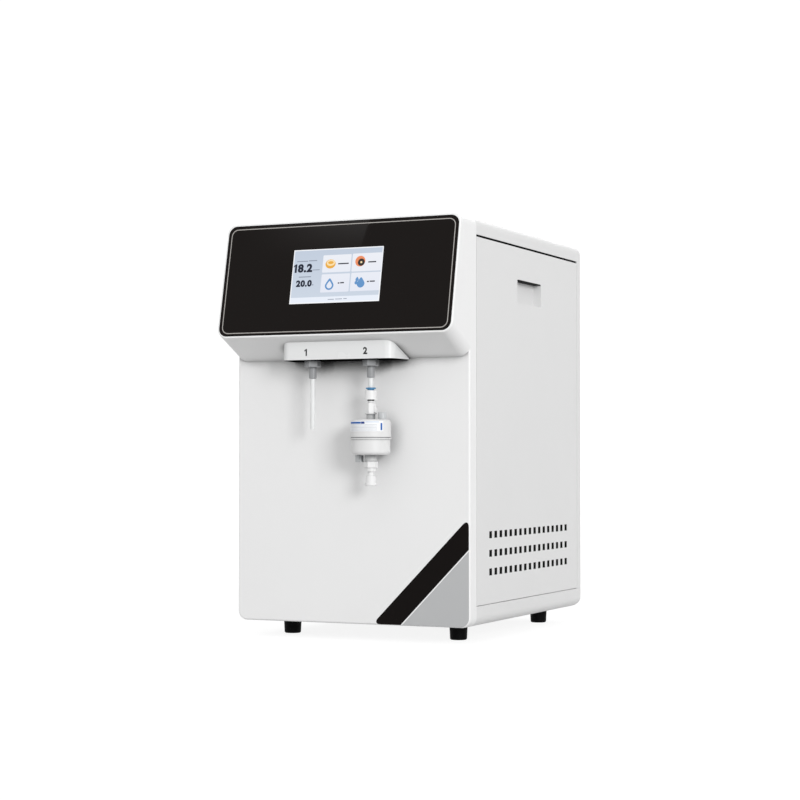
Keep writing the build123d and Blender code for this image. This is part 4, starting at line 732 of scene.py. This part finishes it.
def reading(text, stroke, gap, **figures):
    """Figures that start with a flagged 1, centred."""
    bm = lettering(text[1:], **figures)
    low, high = extent(bm, 1)
    left = extent(bm, 0)[0] - gap
    add_one(bm, high - low, stroke, figures["thickness"], left, (high + low) / 2)
    bm.transform(shift((-sum(extent(bm, 0)) / 2, 0.0, 0.0)))
    return bm


print("figures ready")

# %% [markdown]
# Where the glass is
# The glass leans back, so things on it are placed in its own plane: across, and up the slope. Its
# lower edge comes from the frame, and its lean is the one that the model was drawn with.

# %% Glass plane
GLASS_LEAN = math.radians(11.76)
GLASS_THICKNESS = 3.0 * MM
GLASS_MARGIN = 2.5 * MM
glass_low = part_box("glass_panel")[0]
glass_foot = Vector((0.0, glass_low.y, glass_low.z + GLASS_THICKNESS * math.sin(GLASS_LEAN)))
up_slope = Vector((0.0, math.sin(GLASS_LEAN), math.cos(GLASS_LEAN)))
glass_out = Vector((0.0, -math.cos(GLASS_LEAN), math.sin(GLASS_LEAN)))


def on_glass(x, rise, lift=0.0):
    """A place in the glass's plane: x across, rise up the slope from the head's lip."""
    spot = glass_foot + up_slope * (rise - GLASS_MARGIN) + glass_out * lift + Vector((x, 0, 0))
    return shift(spot) @ Matrix((Vector((1, 0, 0)), up_slope, glass_out)).transposed().to_4x4()


def put_on_glass(name, bm, x, rise, lift, material):
    """Lays a flat piece on the glass."""
    bm.transform(on_glass(x, rise, lift))
    finish_piece(name, bm, material)


print("glass foot:", [round(v, 4) for v in glass_foot])

# %% [markdown]
# The silver line and the screen
# A thin silver line is printed just inside the glass's edge. The screen lies in the middle: a pale
# blue picture with two readings on the left and four buttons on the right. Each layer is a plate a
# few hundredths of a millimetre above the last, and the picture's light comes from the shader.

# %% Silver line
LINE_ACROSS = 326.8 * MM
LINE_LOW, LINE_HIGH = 5.7 * MM, 150.6 * MM
LINE_RADIUS = 9.5 * MM
LINE_WIDTH = 1.1 * MM
LAYER = 0.06 * MM


def frame_line(width, height, radius, line):
    """A thin rounded frame in the XY plane."""
    bm = rounded_face(width, height, radius)
    inner = list(bm.faces)
    bmesh.ops.inset_region(
        bm, faces=inner, thickness=line, use_even_offset=True, use_boundary=True
    )
    bmesh.ops.delete(bm, geom=inner, context="FACES")
    thicken(bm, LAYER)
    return bm


silver_ink = paint("silver_ink", tint(176, 172, 168), tint(162, 158, 154))
put_on_glass(
    "glass_border_line",
    frame_line(LINE_ACROSS, LINE_HIGH - LINE_LOW, LINE_RADIUS, LINE_WIDTH),
    0.0, (LINE_LOW + LINE_HIGH) / 2, 0.0, silver_ink,
)
print("silver line laid")

# %% Screen picture
SCREEN_WIDTH = 130.2 * MM
SCREEN_MIDDLE = -0.6 * MM
SCREEN_LOW, SCREEN_HIGH = 43.7 * MM, 117.4 * MM
SCREEN_GLOW = 1.0
SCREEN_UNLIT = tint(20, 20, 22)
SCREEN_RIM = 1.3 * MM
CARD_RADIUS = 1.2 * MM
CARDS = {
    "upper_left": (-21.8, 19.2, 85.0, 108.6),
    "upper_right": (20.9, 62.9, 84.7, 109.0),
    "lower_left": (-21.8, 19.4, 58.0, 82.6),
    "lower_right": (21.2, 63.2, 58.2, 83.0),
}
FOOT_BAR_HEIGHT = 8.4 * MM


def glow_finish(name, low, high=None):
    """A lit picture layer whose colour moves from one tone to another, up the screen."""
    material, tree, shader = start_material(name)
    start, end = (on_glass(0, rise).translation.z for rise in (SCREEN_LOW, SCREEN_HIGH))
    climb = spread(tree, axes(tree)["Z"], start=start, end=end)
    fill(shader, {
        "Base Color": SCREEN_UNLIT,
        "Roughness": 0.3,
        "Specular IOR Level": 0.2,
        "Emission Color": mix_colors(tree, climb, low, high or low),
        "Emission Strength": SCREEN_GLOW,
    })
    return material


screen_mid = (SCREEN_LOW + SCREEN_HIGH) / 2
screen_size = (SCREEN_WIDTH, SCREEN_HIGH - SCREEN_LOW)
screen_back = glow_finish("screen_back", tint(203, 213, 226), tint(192, 203, 219))
rim_white = glow_finish("screen_rim", tint(250, 251, 253), tint(246, 248, 252))
card_white = glow_finish("card_white", tint(226, 230, 242), tint(236, 238, 244))
bar_white = glow_finish("bar_white", tint(232, 238, 248))
put_on_glass(
    "screen_picture", plate(*screen_size, 0.0, LAYER), SCREEN_MIDDLE, screen_mid, 0.0,
    screen_back,
)
put_on_glass(
    "screen_rim", frame_line(*screen_size, SCREEN_RIM / 4, SCREEN_RIM),
    SCREEN_MIDDLE, screen_mid, 2 * LAYER, rim_white,
)
for name, (left, right, low, high) in CARDS.items():
    put_on_glass(
        f"button_{name}", plate((right - left) * MM, (high - low) * MM, CARD_RADIUS, LAYER),
        (left + right) / 2 * MM, (low + high) / 2 * MM, LAYER, card_white,
    )
put_on_glass(
    "screen_foot_bar", plate(SCREEN_WIDTH, FOOT_BAR_HEIGHT, 0.0, LAYER),
    SCREEN_MIDDLE, SCREEN_LOW + FOOT_BAR_HEIGHT / 2, LAYER, bar_white,
)
print("cards laid:", len(CARDS))

# %% [markdown]
# Readings and icons
# The small captions of a real screen are shown as thin grey bars, as a layout sketch does. The
# icons are a gold button, an orange ring with a dark centre, a drop in outline and a group of blue
# drops, each built from discs and drops. Places are in millimetres across and up the glass.

# %% Readings
figure_navy = glow_finish("figure_navy", tint(10, 20, 44))
caption_grey = glow_finish("caption_grey", tint(138, 146, 162))
caption_dark = glow_finish("caption_dark", tint(58, 60, 70))
upper_figures = reading("18.2", stroke=2.9 * MM, gap=1.5 * MM, size=14.4 * MM, thickness=LAYER,
                        weight=0.8 * MM, width=1.07)
lower_figures = lettering("20.0", size=11.2 * MM, thickness=LAYER, weight=0.66 * MM, width=1.06)
put_on_glass("upper_reading", upper_figures, -50.6 * MM, 91.6 * MM, 2 * LAYER, figure_navy)
put_on_glass("lower_reading", lower_figures, -47.0 * MM, 70.8 * MM, 2 * LAYER, figure_navy)
SIDE_CAPTIONS = (
    (-52.0, 101.6, 16.0, 1.2), (-36.6, 102.0, 12.0, 1.2), (-46.4, 80.2, 18.0, 1.2),
    (-30.6, 89.2, 10.0, 1.0), (-33.8, 69.0, 2.2, 1.4), (-5.0, 48.2, 9.0, 0.9),
    (6.2, 48.4, 10.0, 0.9), (15.6, 48.6, 5.0, 0.9),
)
BUTTON_CAPTIONS = (
    (8.4, 96.2, 15.4, 1.7), (49.8, 96.8, 11.4, 1.7), (4.0, 70.0, 2.4, 1.7), (9.0, 70.2, 5.6, 1.7),
    (46.2, 70.4, 2.6, 1.7), (52.4, 70.6, 7.4, 1.7),
)


def caption_bars(name, bars, material):
    """Thin bars in place of small words, as one piece."""
    bm = bmesh.new()
    for x, rise, width, height in bars:
        add_face(bm, width * MM, height * MM, x * MM, rise * MM)
    thicken(bm, LAYER)
    put_on_glass(name, bm, 0.0, 0.0, 2 * LAYER, material)


caption_bars("side_captions", SIDE_CAPTIONS, caption_grey)
caption_bars("button_captions", BUTTON_CAPTIONS, caption_dark)
print("captions:", len(SIDE_CAPTIONS) + len(BUTTON_CAPTIONS))

# %% Icons
DROP_TAPER = 0.5
DROP_POINT = 0.5
DROP_CURVE = 1.5
OVAL_STEPS = 40


def oval(radius, flatness=1.0):
    """A disc pressed flatter, as a coin seen from the side."""
    bm = bmesh.new()
    bmesh.ops.create_circle(bm, cap_ends=True, segments=OVAL_STEPS, radius=radius * MM)
    thicken(bm, LAYER)
    bmesh.ops.scale(bm, verts=bm.verts, vec=(1.0, flatness, 1.0))
    return bm


def drop(radius):
    """A drop in the XY plane: a disc whose upper half is drawn up to a point."""
    bm = oval(radius)
    for vert in bm.verts:
        if vert.co.y > 0:
            height = vert.co.y / (radius * MM)
            vert.co.x *= 1 - DROP_TAPER * height ** DROP_CURVE
            vert.co.y *= 1 + DROP_POINT * height
    return bm


gold = glow_finish("icon_gold", tint(226, 158, 44), tint(236, 176, 70))
gold_light = glow_finish("icon_gold_light", tint(250, 222, 168), tint(250, 226, 176))
orange = glow_finish("icon_orange", tint(228, 130, 84), tint(236, 142, 96))
charcoal = glow_finish("icon_charcoal", tint(40, 34, 32))
blue = glow_finish("icon_blue", tint(88, 140, 196), tint(110, 158, 206))
ICONS = (
    ("gold_rim", oval(7.4, 0.84), -10.4, 96.4, 2, gold),
    ("gold_face", oval(6.0, 0.7), -10.0, 98.0, 3, gold_light),
    ("gold_center", oval(4.0, 0.5), -10.0, 98.2, 4, gold),
    ("ring_outer", oval(7.2), 32.6, 98.4, 2, orange),
    ("ring_middle", oval(4.9), 34.2, 96.9, 3, charcoal),
    ("ring_center", oval(1.4), 34.2, 96.9, 4, gold_light),
    ("drop_outer", drop(6.3), -9.4, 67.4, 2, blue),
    ("drop_inner", drop(3.9), -9.4, 67.2, 3, card_white),
    ("pair_large", drop(5.6), 36.0, 68.2, 2, blue),
    ("pair_small", drop(2.4), 29.4, 69.4, 2, blue),
    ("pair_top", drop(2.4), 30.4, 73.8, 2, blue),
)
for name, shape, x, rise, layers, tone in ICONS:
    put_on_glass(f"icon_{name}", shape, x * MM, rise * MM, layers * LAYER, tone)
print("icons laid:", len(ICONS))

# %% [markdown]
# The bands on the lower front
# A black band runs up to the right edge at 45 degrees, a thin white line follows it, and a grey
# corner fills the rest. They are thin films on the front face. The words that such a film often
# carries are left off.

# %% Front film
FILM = 0.12 * MM
FILM_RIGHT = 168.2
FILM_LOW = 1.0
CORNER_STEPS = 8


def film(name, outline, rounded, material):
    """A thin film on the front face; rounded maps a corner's index to how far it is cut back."""
    bm = bmesh.new()
    corners = [bm.verts.new((x * MM, z * MM, 0.0)) for x, z in outline]
    bm.faces.new(corners)
    for index, cut in rounded.items():
        round_corners(bm, [corners[index]], cut * MM, CORNER_STEPS)
    thicken(bm, FILM)
    bm.transform(shift((0.0, front_y, base_z)) @ STAND)
    finish_piece(name, bm, material)


film_black = paint("film_black", tint(12, 8, 7), tint(15, 11, 10), mirror=0.07)
film_grey = paint("film_grey", tint(184, 185, 186), tint(179, 180, 181), mirror=0.12)
film(
    "front_band",
    ((31.6, FILM_LOW), (71.7, FILM_LOW), (FILM_RIGHT, 100.6), (FILM_RIGHT, 141.5)),
    {0: 10.9, 3: 12.0}, film_black,
)
film(
    "front_corner",
    ((74.2, FILM_LOW), (FILM_RIGHT, FILM_LOW), (FILM_RIGHT, 98.2)),
    {1: 12.0}, film_grey,
)
print("front film laid")

# %% [markdown]
# Recess shade strips and vent screens
# The ceiling of each pull recess is black in the photograph; a black strip there is painted shade
# for the hollow above the fingertips. The vents show black too: a fine dark mesh lies behind them
# on the inside of each side panel, a dust screen whose near-black tone is also painted shade. Both
# are thin plates that ride on the panel. The long slot under the top cover is black because a black
# sheet on the rail behind it is painted shade there.

# %% Recess shade strips and vent screens
STRIP = 0.4 * MM
STRIP_SKIN = 1.3 * MM
SCREEN_GAP = 0.15 * MM
SCREEN_SKIN = 0.5 * MM
SHEET = 1.2 * MM
PULL_SIZE = (91.0 * MM, 32.0 * MM)
PULL_DEPTH = 11.4 * MM
PULL_MIDDLE = (213.5 * MM, 445.8 * MM)
WEAVE_SCALE = 900.0
SIDES = (("right", 1), ("left", -1))
shade_black = paint("shade_black", tint(8), tint(4), (0.7, 0.8), 0.1)


def dust_screen_and_shade():
    """Dark woven mesh: two bands of fine threads darken a charcoal sheet; its near-black tone is
    also painted shade behind the vents.
    """
    material, tree, shader = start_material("dust_screen_and_shade")
    place = add_node(tree, "TexCoord").outputs["Object"]
    turn = add_node(tree, "Mapping", {"Rotation": (0.0, math.pi / 2, 0.0), "Vector": place})
    weave = add_node(tree, "TexBrick", {
        "Scale": WEAVE_SCALE, "Color1": tint(4), "Color2": tint(7), "Mortar": tint(12),
        "Vector": turn.outputs["Vector"],
    })
    fill(shader, {
        "Base Color": weave.outputs["Color"], "Roughness": 0.8, "Specular IOR Level": 0.1,
    })
    return material


def side_sheet(name, size, skin, spot, material, body="cabinet"):
    """A thin upright sheet that faces a side; its left face stands at the spot."""
    bm = plate(*size, 0.0, skin)
    bm.transform(shift(spot) @ SIDEWAYS)
    finish_piece(name, bm, material, body)


mesh_black = dust_screen_and_shade()
ceiling = base_z + PULL_MIDDLE[1] + PULL_SIZE[1] / 2 - STRIP_SKIN - SCREEN_GAP
for side, sign in SIDES:
    # Painted shade: a black strip under the ceiling of each pull recess.
    bm = plate(PULL_DEPTH - 2 * STRIP, PULL_SIZE[0] - 2 * STRIP, 0.0, STRIP_SKIN)
    middle = sign * (half_width - PULL_DEPTH / 2)
    bm.transform(shift((middle, front_y + PULL_MIDDLE[0], ceiling)))
    finish_piece(f"{side}_recess_shade_strip", bm, shade_black, f"{side}_panel")
    # A dust screen whose near-black tone is also painted shade behind the vents.
    inner = sign * (half_width - SHEET - SCREEN_GAP) - (SCREEN_SKIN if sign > 0 else 0.0)
    side_sheet(
        f"{side}_vent_screen", VENT_FIELD[::-1], SCREEN_SKIN,
        (inner, front_y + VENT_MIDDLE[0], base_z + VENT_MIDDLE[1]),
        mesh_black, f"{side}_panel",
    )
print("strips and screens laid")

# %% Slot shade sheets
RAIL_INSET = 18.5 * MM
SLOT_SHADE_LOW, SLOT_SHADE_HIGH = 521.0 * MM, 546.0 * MM
SLOT_SHADE_SKIN = 0.5 * MM
SLOT_SHADE_ENDS = 2.0 * MM
# Painted shade: a black sheet on each rail darkens the slot under the top cover.
for side, sign in SIDES:
    web = sign * (half_width - RAIL_INSET + SCREEN_GAP) - (0.0 if sign > 0 else SLOT_SHADE_SKIN)
    side_sheet(
        f"{side}_slot_shade", (SLOT_SHADE_HIGH - SLOT_SHADE_LOW, tray_high.y - tray_low.y - SLOT_SHADE_ENDS),
        SLOT_SHADE_SKIN, (web, (tray_low.y + tray_high.y) / 2, (SLOT_SHADE_LOW + SLOT_SHADE_HIGH) / 2),
        shade_black,
    )
print("slot seals laid")

# %% [markdown]
# Outlet numbers
# The two outlets are told apart by a plain number each, printed on the dispensing block.

# %% Outlet numbers
OUTLET_X = 42.3 * MM
NUMBER_SIZE = 12.0 * MM
NUMBER_STROKE = 1.9 * MM
NUMBER_WEIGHT = 0.45 * MM
NUMBER_DROP = 2.0 * MM
number_ink = paint("number_ink", tint(22, 22, 24), tint(28, 28, 30))
number_z = middle_of("dispense_block").z - NUMBER_DROP
two = lettering("2", NUMBER_SIZE, FILM, NUMBER_WEIGHT)
number_low, number_high = extent(two, 1)
one = bmesh.new()
add_one(one, number_high - number_low, NUMBER_STROKE, FILM)
for side, bm, x in (("left", one, -OUTLET_X), ("right", two, OUTLET_X)):
    bm.transform(shift((x, block_low.y - FILM / 2, number_z)) @ STAND)
    finish_piece(f"{side}_outlet_number", bm, number_ink)
print("numbers printed")

# %% [markdown]
# The shade plate under the block
# A thin black plate with no mirror light is painted shade under the block. Its outline is the
# block's own underside, so the faces there are copied and drawn down a little.

# %% Underside shade plate
PLATE_SKIN = 0.3 * MM
UNDER_REACH = 0.05 * MM
bm = bmesh.new()
bm.from_mesh(nodes["dispense_block"].data)
above = block_low.z + UNDER_REACH
others = [face for face in bm.faces if max(vert.co.z for vert in face.verts) > above]
bmesh.ops.delete(bm, geom=others, context="FACES")
bmesh.ops.remove_doubles(bm, verts=bm.verts, dist=WELD)
thicken(bm, -PLATE_SKIN)
# Painted shade: black with no mirror light under the block.
underside_shade_black = paint("underside_shade_black", tint(10), tint(6), (0.8, 0.9), 0.0)
finish_piece("block_underside_shade", bm, underside_shade_black)
print("plate closes the block at z", round(block_low.z, 4))

# %% [markdown]
# The capsule's label and the small rings
# A white label is wrapped round the upper cup, with a blue bar, a blue mark and thin rules. A label
# on a round part is a patch of a thin tube: a short line spun about the part's axis. Angles are
# counted from the side that faces the camera, and heights down from the label's upper edge.

# %% Wrapped label
LABEL_TOP, LABEL_HEIGHT = 21.0 * MM, 13.8 * MM
LABEL_SKIN, INK_SKIN, PATCH_SKIN = 0.1 * MM, 0.2 * MM, 0.08 * MM
CAMERA_SIDE = math.degrees(CAMERA_TURN) - 90.0
RULE_DROPS = (5.4, 7.2, 9.0, 10.8, 12.4)
RULE_HEIGHT = 0.35
LABEL_STEPS = 36
upper_low, upper_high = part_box("capsule_upper_housing")
outlet_axis = middle_of("capsule_upper_housing").xy
capsule_radius = (upper_high.x - upper_low.x) / 2
seam_z = upper_low.z


def wrap(name, lift, low, high, start, end, material):
    """A patch of a thin tube about the capsule's axis, with heights down from the label's top."""
    bm = bmesh.new()
    top = seam_z + LABEL_TOP
    a = bm.verts.new((capsule_radius + lift, 0.0, top - low))
    b = bm.verts.new((capsule_radius + lift, 0.0, top - high))
    edge = bm.edges.new((a, b))
    bm.transform(Matrix.Rotation(math.radians(CAMERA_SIDE + start), 4, "Z"))
    bmesh.ops.spin(
        bm, geom=[a, b, edge], axis=(0, 0, 1), cent=(0, 0, 0),
        angle=math.radians(end - start), steps=LABEL_STEPS, use_duplicate=False,
    )
    bmesh.ops.recalc_face_normals(bm, faces=bm.faces)
    bmesh.ops.solidify(bm, geom=list(bm.faces), thickness=-PATCH_SKIN)
    bm.transform(shift((*outlet_axis, 0.0)))
    finish_piece(name, bm, material)


label_white = paint("label_white", tint(240, 241, 243), tint(236, 238, 240))
label_blue = paint("label_blue", tint(38, 92, 166), tint(46, 100, 174))
label_grey = paint("label_grey", tint(170, 176, 184), tint(164, 170, 178))
label_navy = paint("label_navy", tint(22, 56, 128), tint(28, 62, 134))
label_pale = paint("label_pale", tint(170, 190, 218), tint(164, 184, 212))
PRINTS = {
    "bar": (3.8, 1.4, -74, -28, label_blue),
    "bar_end": (4.0, 1.2, -27, -17, label_navy),
    "line": (2.0, 1.3, -14, 24, label_pale),
    "mark": (12.2, 3.0, 29, 34.5, label_blue),
}
for count, low in enumerate(RULE_DROPS, 1):
    PRINTS[f"rule_{count}"] = (low, low - RULE_HEIGHT, -70, 18, label_grey)
wrap("capsule_label", LABEL_SKIN, LABEL_HEIGHT, 0.0, -100, 38, label_white)
for name, (low, high, start, end, ink) in PRINTS.items():
    wrap(f"label_{name}", INK_SKIN, low * MM, high * MM, start, end, ink)
print("label wrapped at radius", round(capsule_radius, 4), "with prints:", len(PRINTS))

# %% Rings
COUPLING_BODY = 12.0 * MM
COUPLING_NECK = 3.9 * MM
SEAL_THICKNESS = 0.8 * MM
SEAM_RADIUS = 25.5 * MM
SEAM_BEAD = 0.42 * MM
SEAM_DROP = 0.5 * MM


def ring(axis, z, major, minor, steps=48, sides=12):
    """A round ring about an upright axis: a circle spun about it."""
    bm = bmesh.new()
    bmesh.ops.create_circle(bm, cap_ends=False, segments=sides, radius=minor)
    bm.transform(shift((major, 0.0, 0.0)) @ STAND)
    bmesh.ops.spin(
        bm, geom=list(bm.verts) + list(bm.edges), axis=(0, 0, 1), cent=(0, 0, 0),
        angle=2 * math.pi, steps=steps, use_merge=True, use_duplicate=False,
    )
    bm.transform(shift((*axis, z)))
    return bm


seal_black = paint("seal_black", tint(36, 36, 38), tint(28, 28, 30), (0.5, 0.6))
seam_shade_grey = paint("seam_shade_grey", tint(128, 130, 132), tint(116, 118, 120), (0.5, 0.6))
seal_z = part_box("coupling_body")[1].z - COUPLING_BODY - SEAL_THICKNESS
finish_piece("coupling_seal", ring(outlet_axis, seal_z, COUPLING_NECK, SEAL_THICKNESS),
             seal_black)
# Painted shade: a grey bead fills the groove between the capsule's cups, where shade falls.
finish_piece("capsule_seam_shade", ring(outlet_axis, seam_z - SEAM_DROP, SEAM_RADIUS, SEAM_BEAD, 96, 8),
             seam_shade_grey)
print("seal at z", round(seal_z, 4), "seam at z", round(seam_z, 4))

# %% [markdown]
# Small things on the back
# The back isn't in the photograph, so it has what such machines have there. Each quarter-inch port
# has a coloured release ring, the inlet's pins are bare metal, the switch has its line and circle,
# and the screws have a cross in their heads. A cross is two thin dark bars laid on the head.

# %% Port rings and socket pins
PORT_PLACES = {"drain": -19.0 * MM, "tank": 22.0 * MM, "feed": 60.2 * MM}
PORT_RING = (5.7 * MM, 0.6 * MM)
PORT_RING_INSET = 1.2 * MM
INLET_QUARTER = 13.5 * MM
PIN_PLACES = ((-5.5, -2.0), (0.0, 3.0), (5.5, -2.0))
PIN_WIDTH, PIN_HEIGHT, PIN_LENGTH = 2.1 * MM, 4.1 * MM, 11.0 * MM
PIN_RECESS = 5.45 * MM
port_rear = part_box("rear_ports")[1].y
port_z = middle_of("rear_ports").z
for name, x in PORT_PLACES.items():
    bm = ring((0.0, 0.0), 0.0, *PORT_RING)
    bm.transform(shift((x, port_rear - PORT_RING_INSET, port_z)) @ STAND)
    finish_piece(f"{name}_port_ring", bm, collet_blue)
inlet_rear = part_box("mains_inlet")[1].y
inlet = middle_of("mains_inlet")
bm = bmesh.new()
for x, z in PIN_PLACES:
    spot = (inlet.x + x * MM, inlet_rear - PIN_RECESS - PIN_LENGTH / 2,
            inlet.z - INLET_QUARTER + z * MM)
    add_bar(bm, (PIN_WIDTH, PIN_LENGTH, PIN_HEIGHT), spot)
finish_piece("socket_pins", bm, screw_steel)
print("ports:", len(PORT_PLACES), "pins:", len(PIN_PLACES))

# %% Switch marks
ROCKER_LEAN = math.radians(-10.0)
ROCKER_PIVOT = 4.0 * MM
ROCKER_CROWN = 1.0 * MM
ROCKER_HALF = 9.5 * MM
LINE_SIZE = (0.9 * MM, 4.2 * MM)
CIRCLE = (1.8 * MM, 0.25 * MM)
CIRCLE_FLATNESS = 0.4
rocker_hinge = Vector((inlet.x, inlet_rear - ROCKER_PIVOT, inlet.z + INLET_QUARTER))
rocker_out = Vector((0.0, math.cos(ROCKER_LEAN), math.sin(ROCKER_LEAN)))
rocker_up = Vector((0.0, -math.sin(ROCKER_LEAN), math.cos(ROCKER_LEAN)))


def on_rocker(half):
    """The middle of the rocker's upper (1) or lower (-1) face, as a place to lay a mark."""
    rise = half * rocker_up * ROCKER_HALF + rocker_out * ROCKER_CROWN
    up = (rise * half).normalized()
    out = Vector((1.0, 0.0, 0.0)).cross(up)
    out = out if out.y > 0 else -out
    spot = rocker_hinge + rocker_out * ROCKER_PIVOT + rise / 2 + out * FILM / 4
    return shift(spot) @ Matrix((up.cross(out), up, out)).transposed().to_4x4()


mark_white = paint("mark_white", tint(232), tint(226))
bm = plate(*LINE_SIZE, 0.0, FILM)
bm.transform(on_rocker(1))
finish_piece("switch_line", bm, mark_white, "rocker")
bm = ring((0.0, 0.0), 0.0, *CIRCLE, 32, 8)
bmesh.ops.scale(bm, verts=bm.verts, vec=(1.0, 1.0, CIRCLE_FLATNESS))
bm.transform(on_rocker(-1))
finish_piece("switch_circle", bm, mark_white, "rocker")
print("switch marked")


# %% Screw crosses
def screw_places():
    """Each screw's box, from the separate shells of the screws' mesh."""
    bm = bmesh.new()
    bm.from_mesh(nodes["pan_head_screws"].data)
    bmesh.ops.remove_doubles(bm, verts=bm.verts, dist=WELD)
    left = set(bm.verts)
    boxes = []
    while left:
        shell, edge = set(), {left.pop()}
        while edge:
            vert = edge.pop()
            shell.add(vert)
            edge |= {e.other_vert(vert) for e in vert.link_edges} - shell
        left -= shell
        corners = [[v.co[axis] for v in shell] for axis in range(3)]
        boxes.append((Vector(map(min, corners)), Vector(map(max, corners))))
    bm.free()
    return boxes


CROSS_LENGTH, CROSS_WIDTH, CROSS_SKIN = 4.6 * MM, 0.9 * MM, 0.06 * MM
bm = bmesh.new()
screws = screw_places()
for low, high in screws:
    middle = (low + high) / 2
    upright = high.z - low.z > high.y - low.y
    spot = Vector((middle.x, middle.y, low.z) if upright else (middle.x, high.y, middle.z))
    for long_axis in (0, 1):
        sizes = [CROSS_WIDTH] * 3
        sizes[0 if long_axis == 0 else (1 if upright else 2)] = CROSS_LENGTH
        sizes[2 if upright else 1] = 2 * CROSS_SKIN
        add_bar(bm, sizes, spot)
finish_piece("screw_crosses", bm, seal_black)
print("screws:", len(screws))
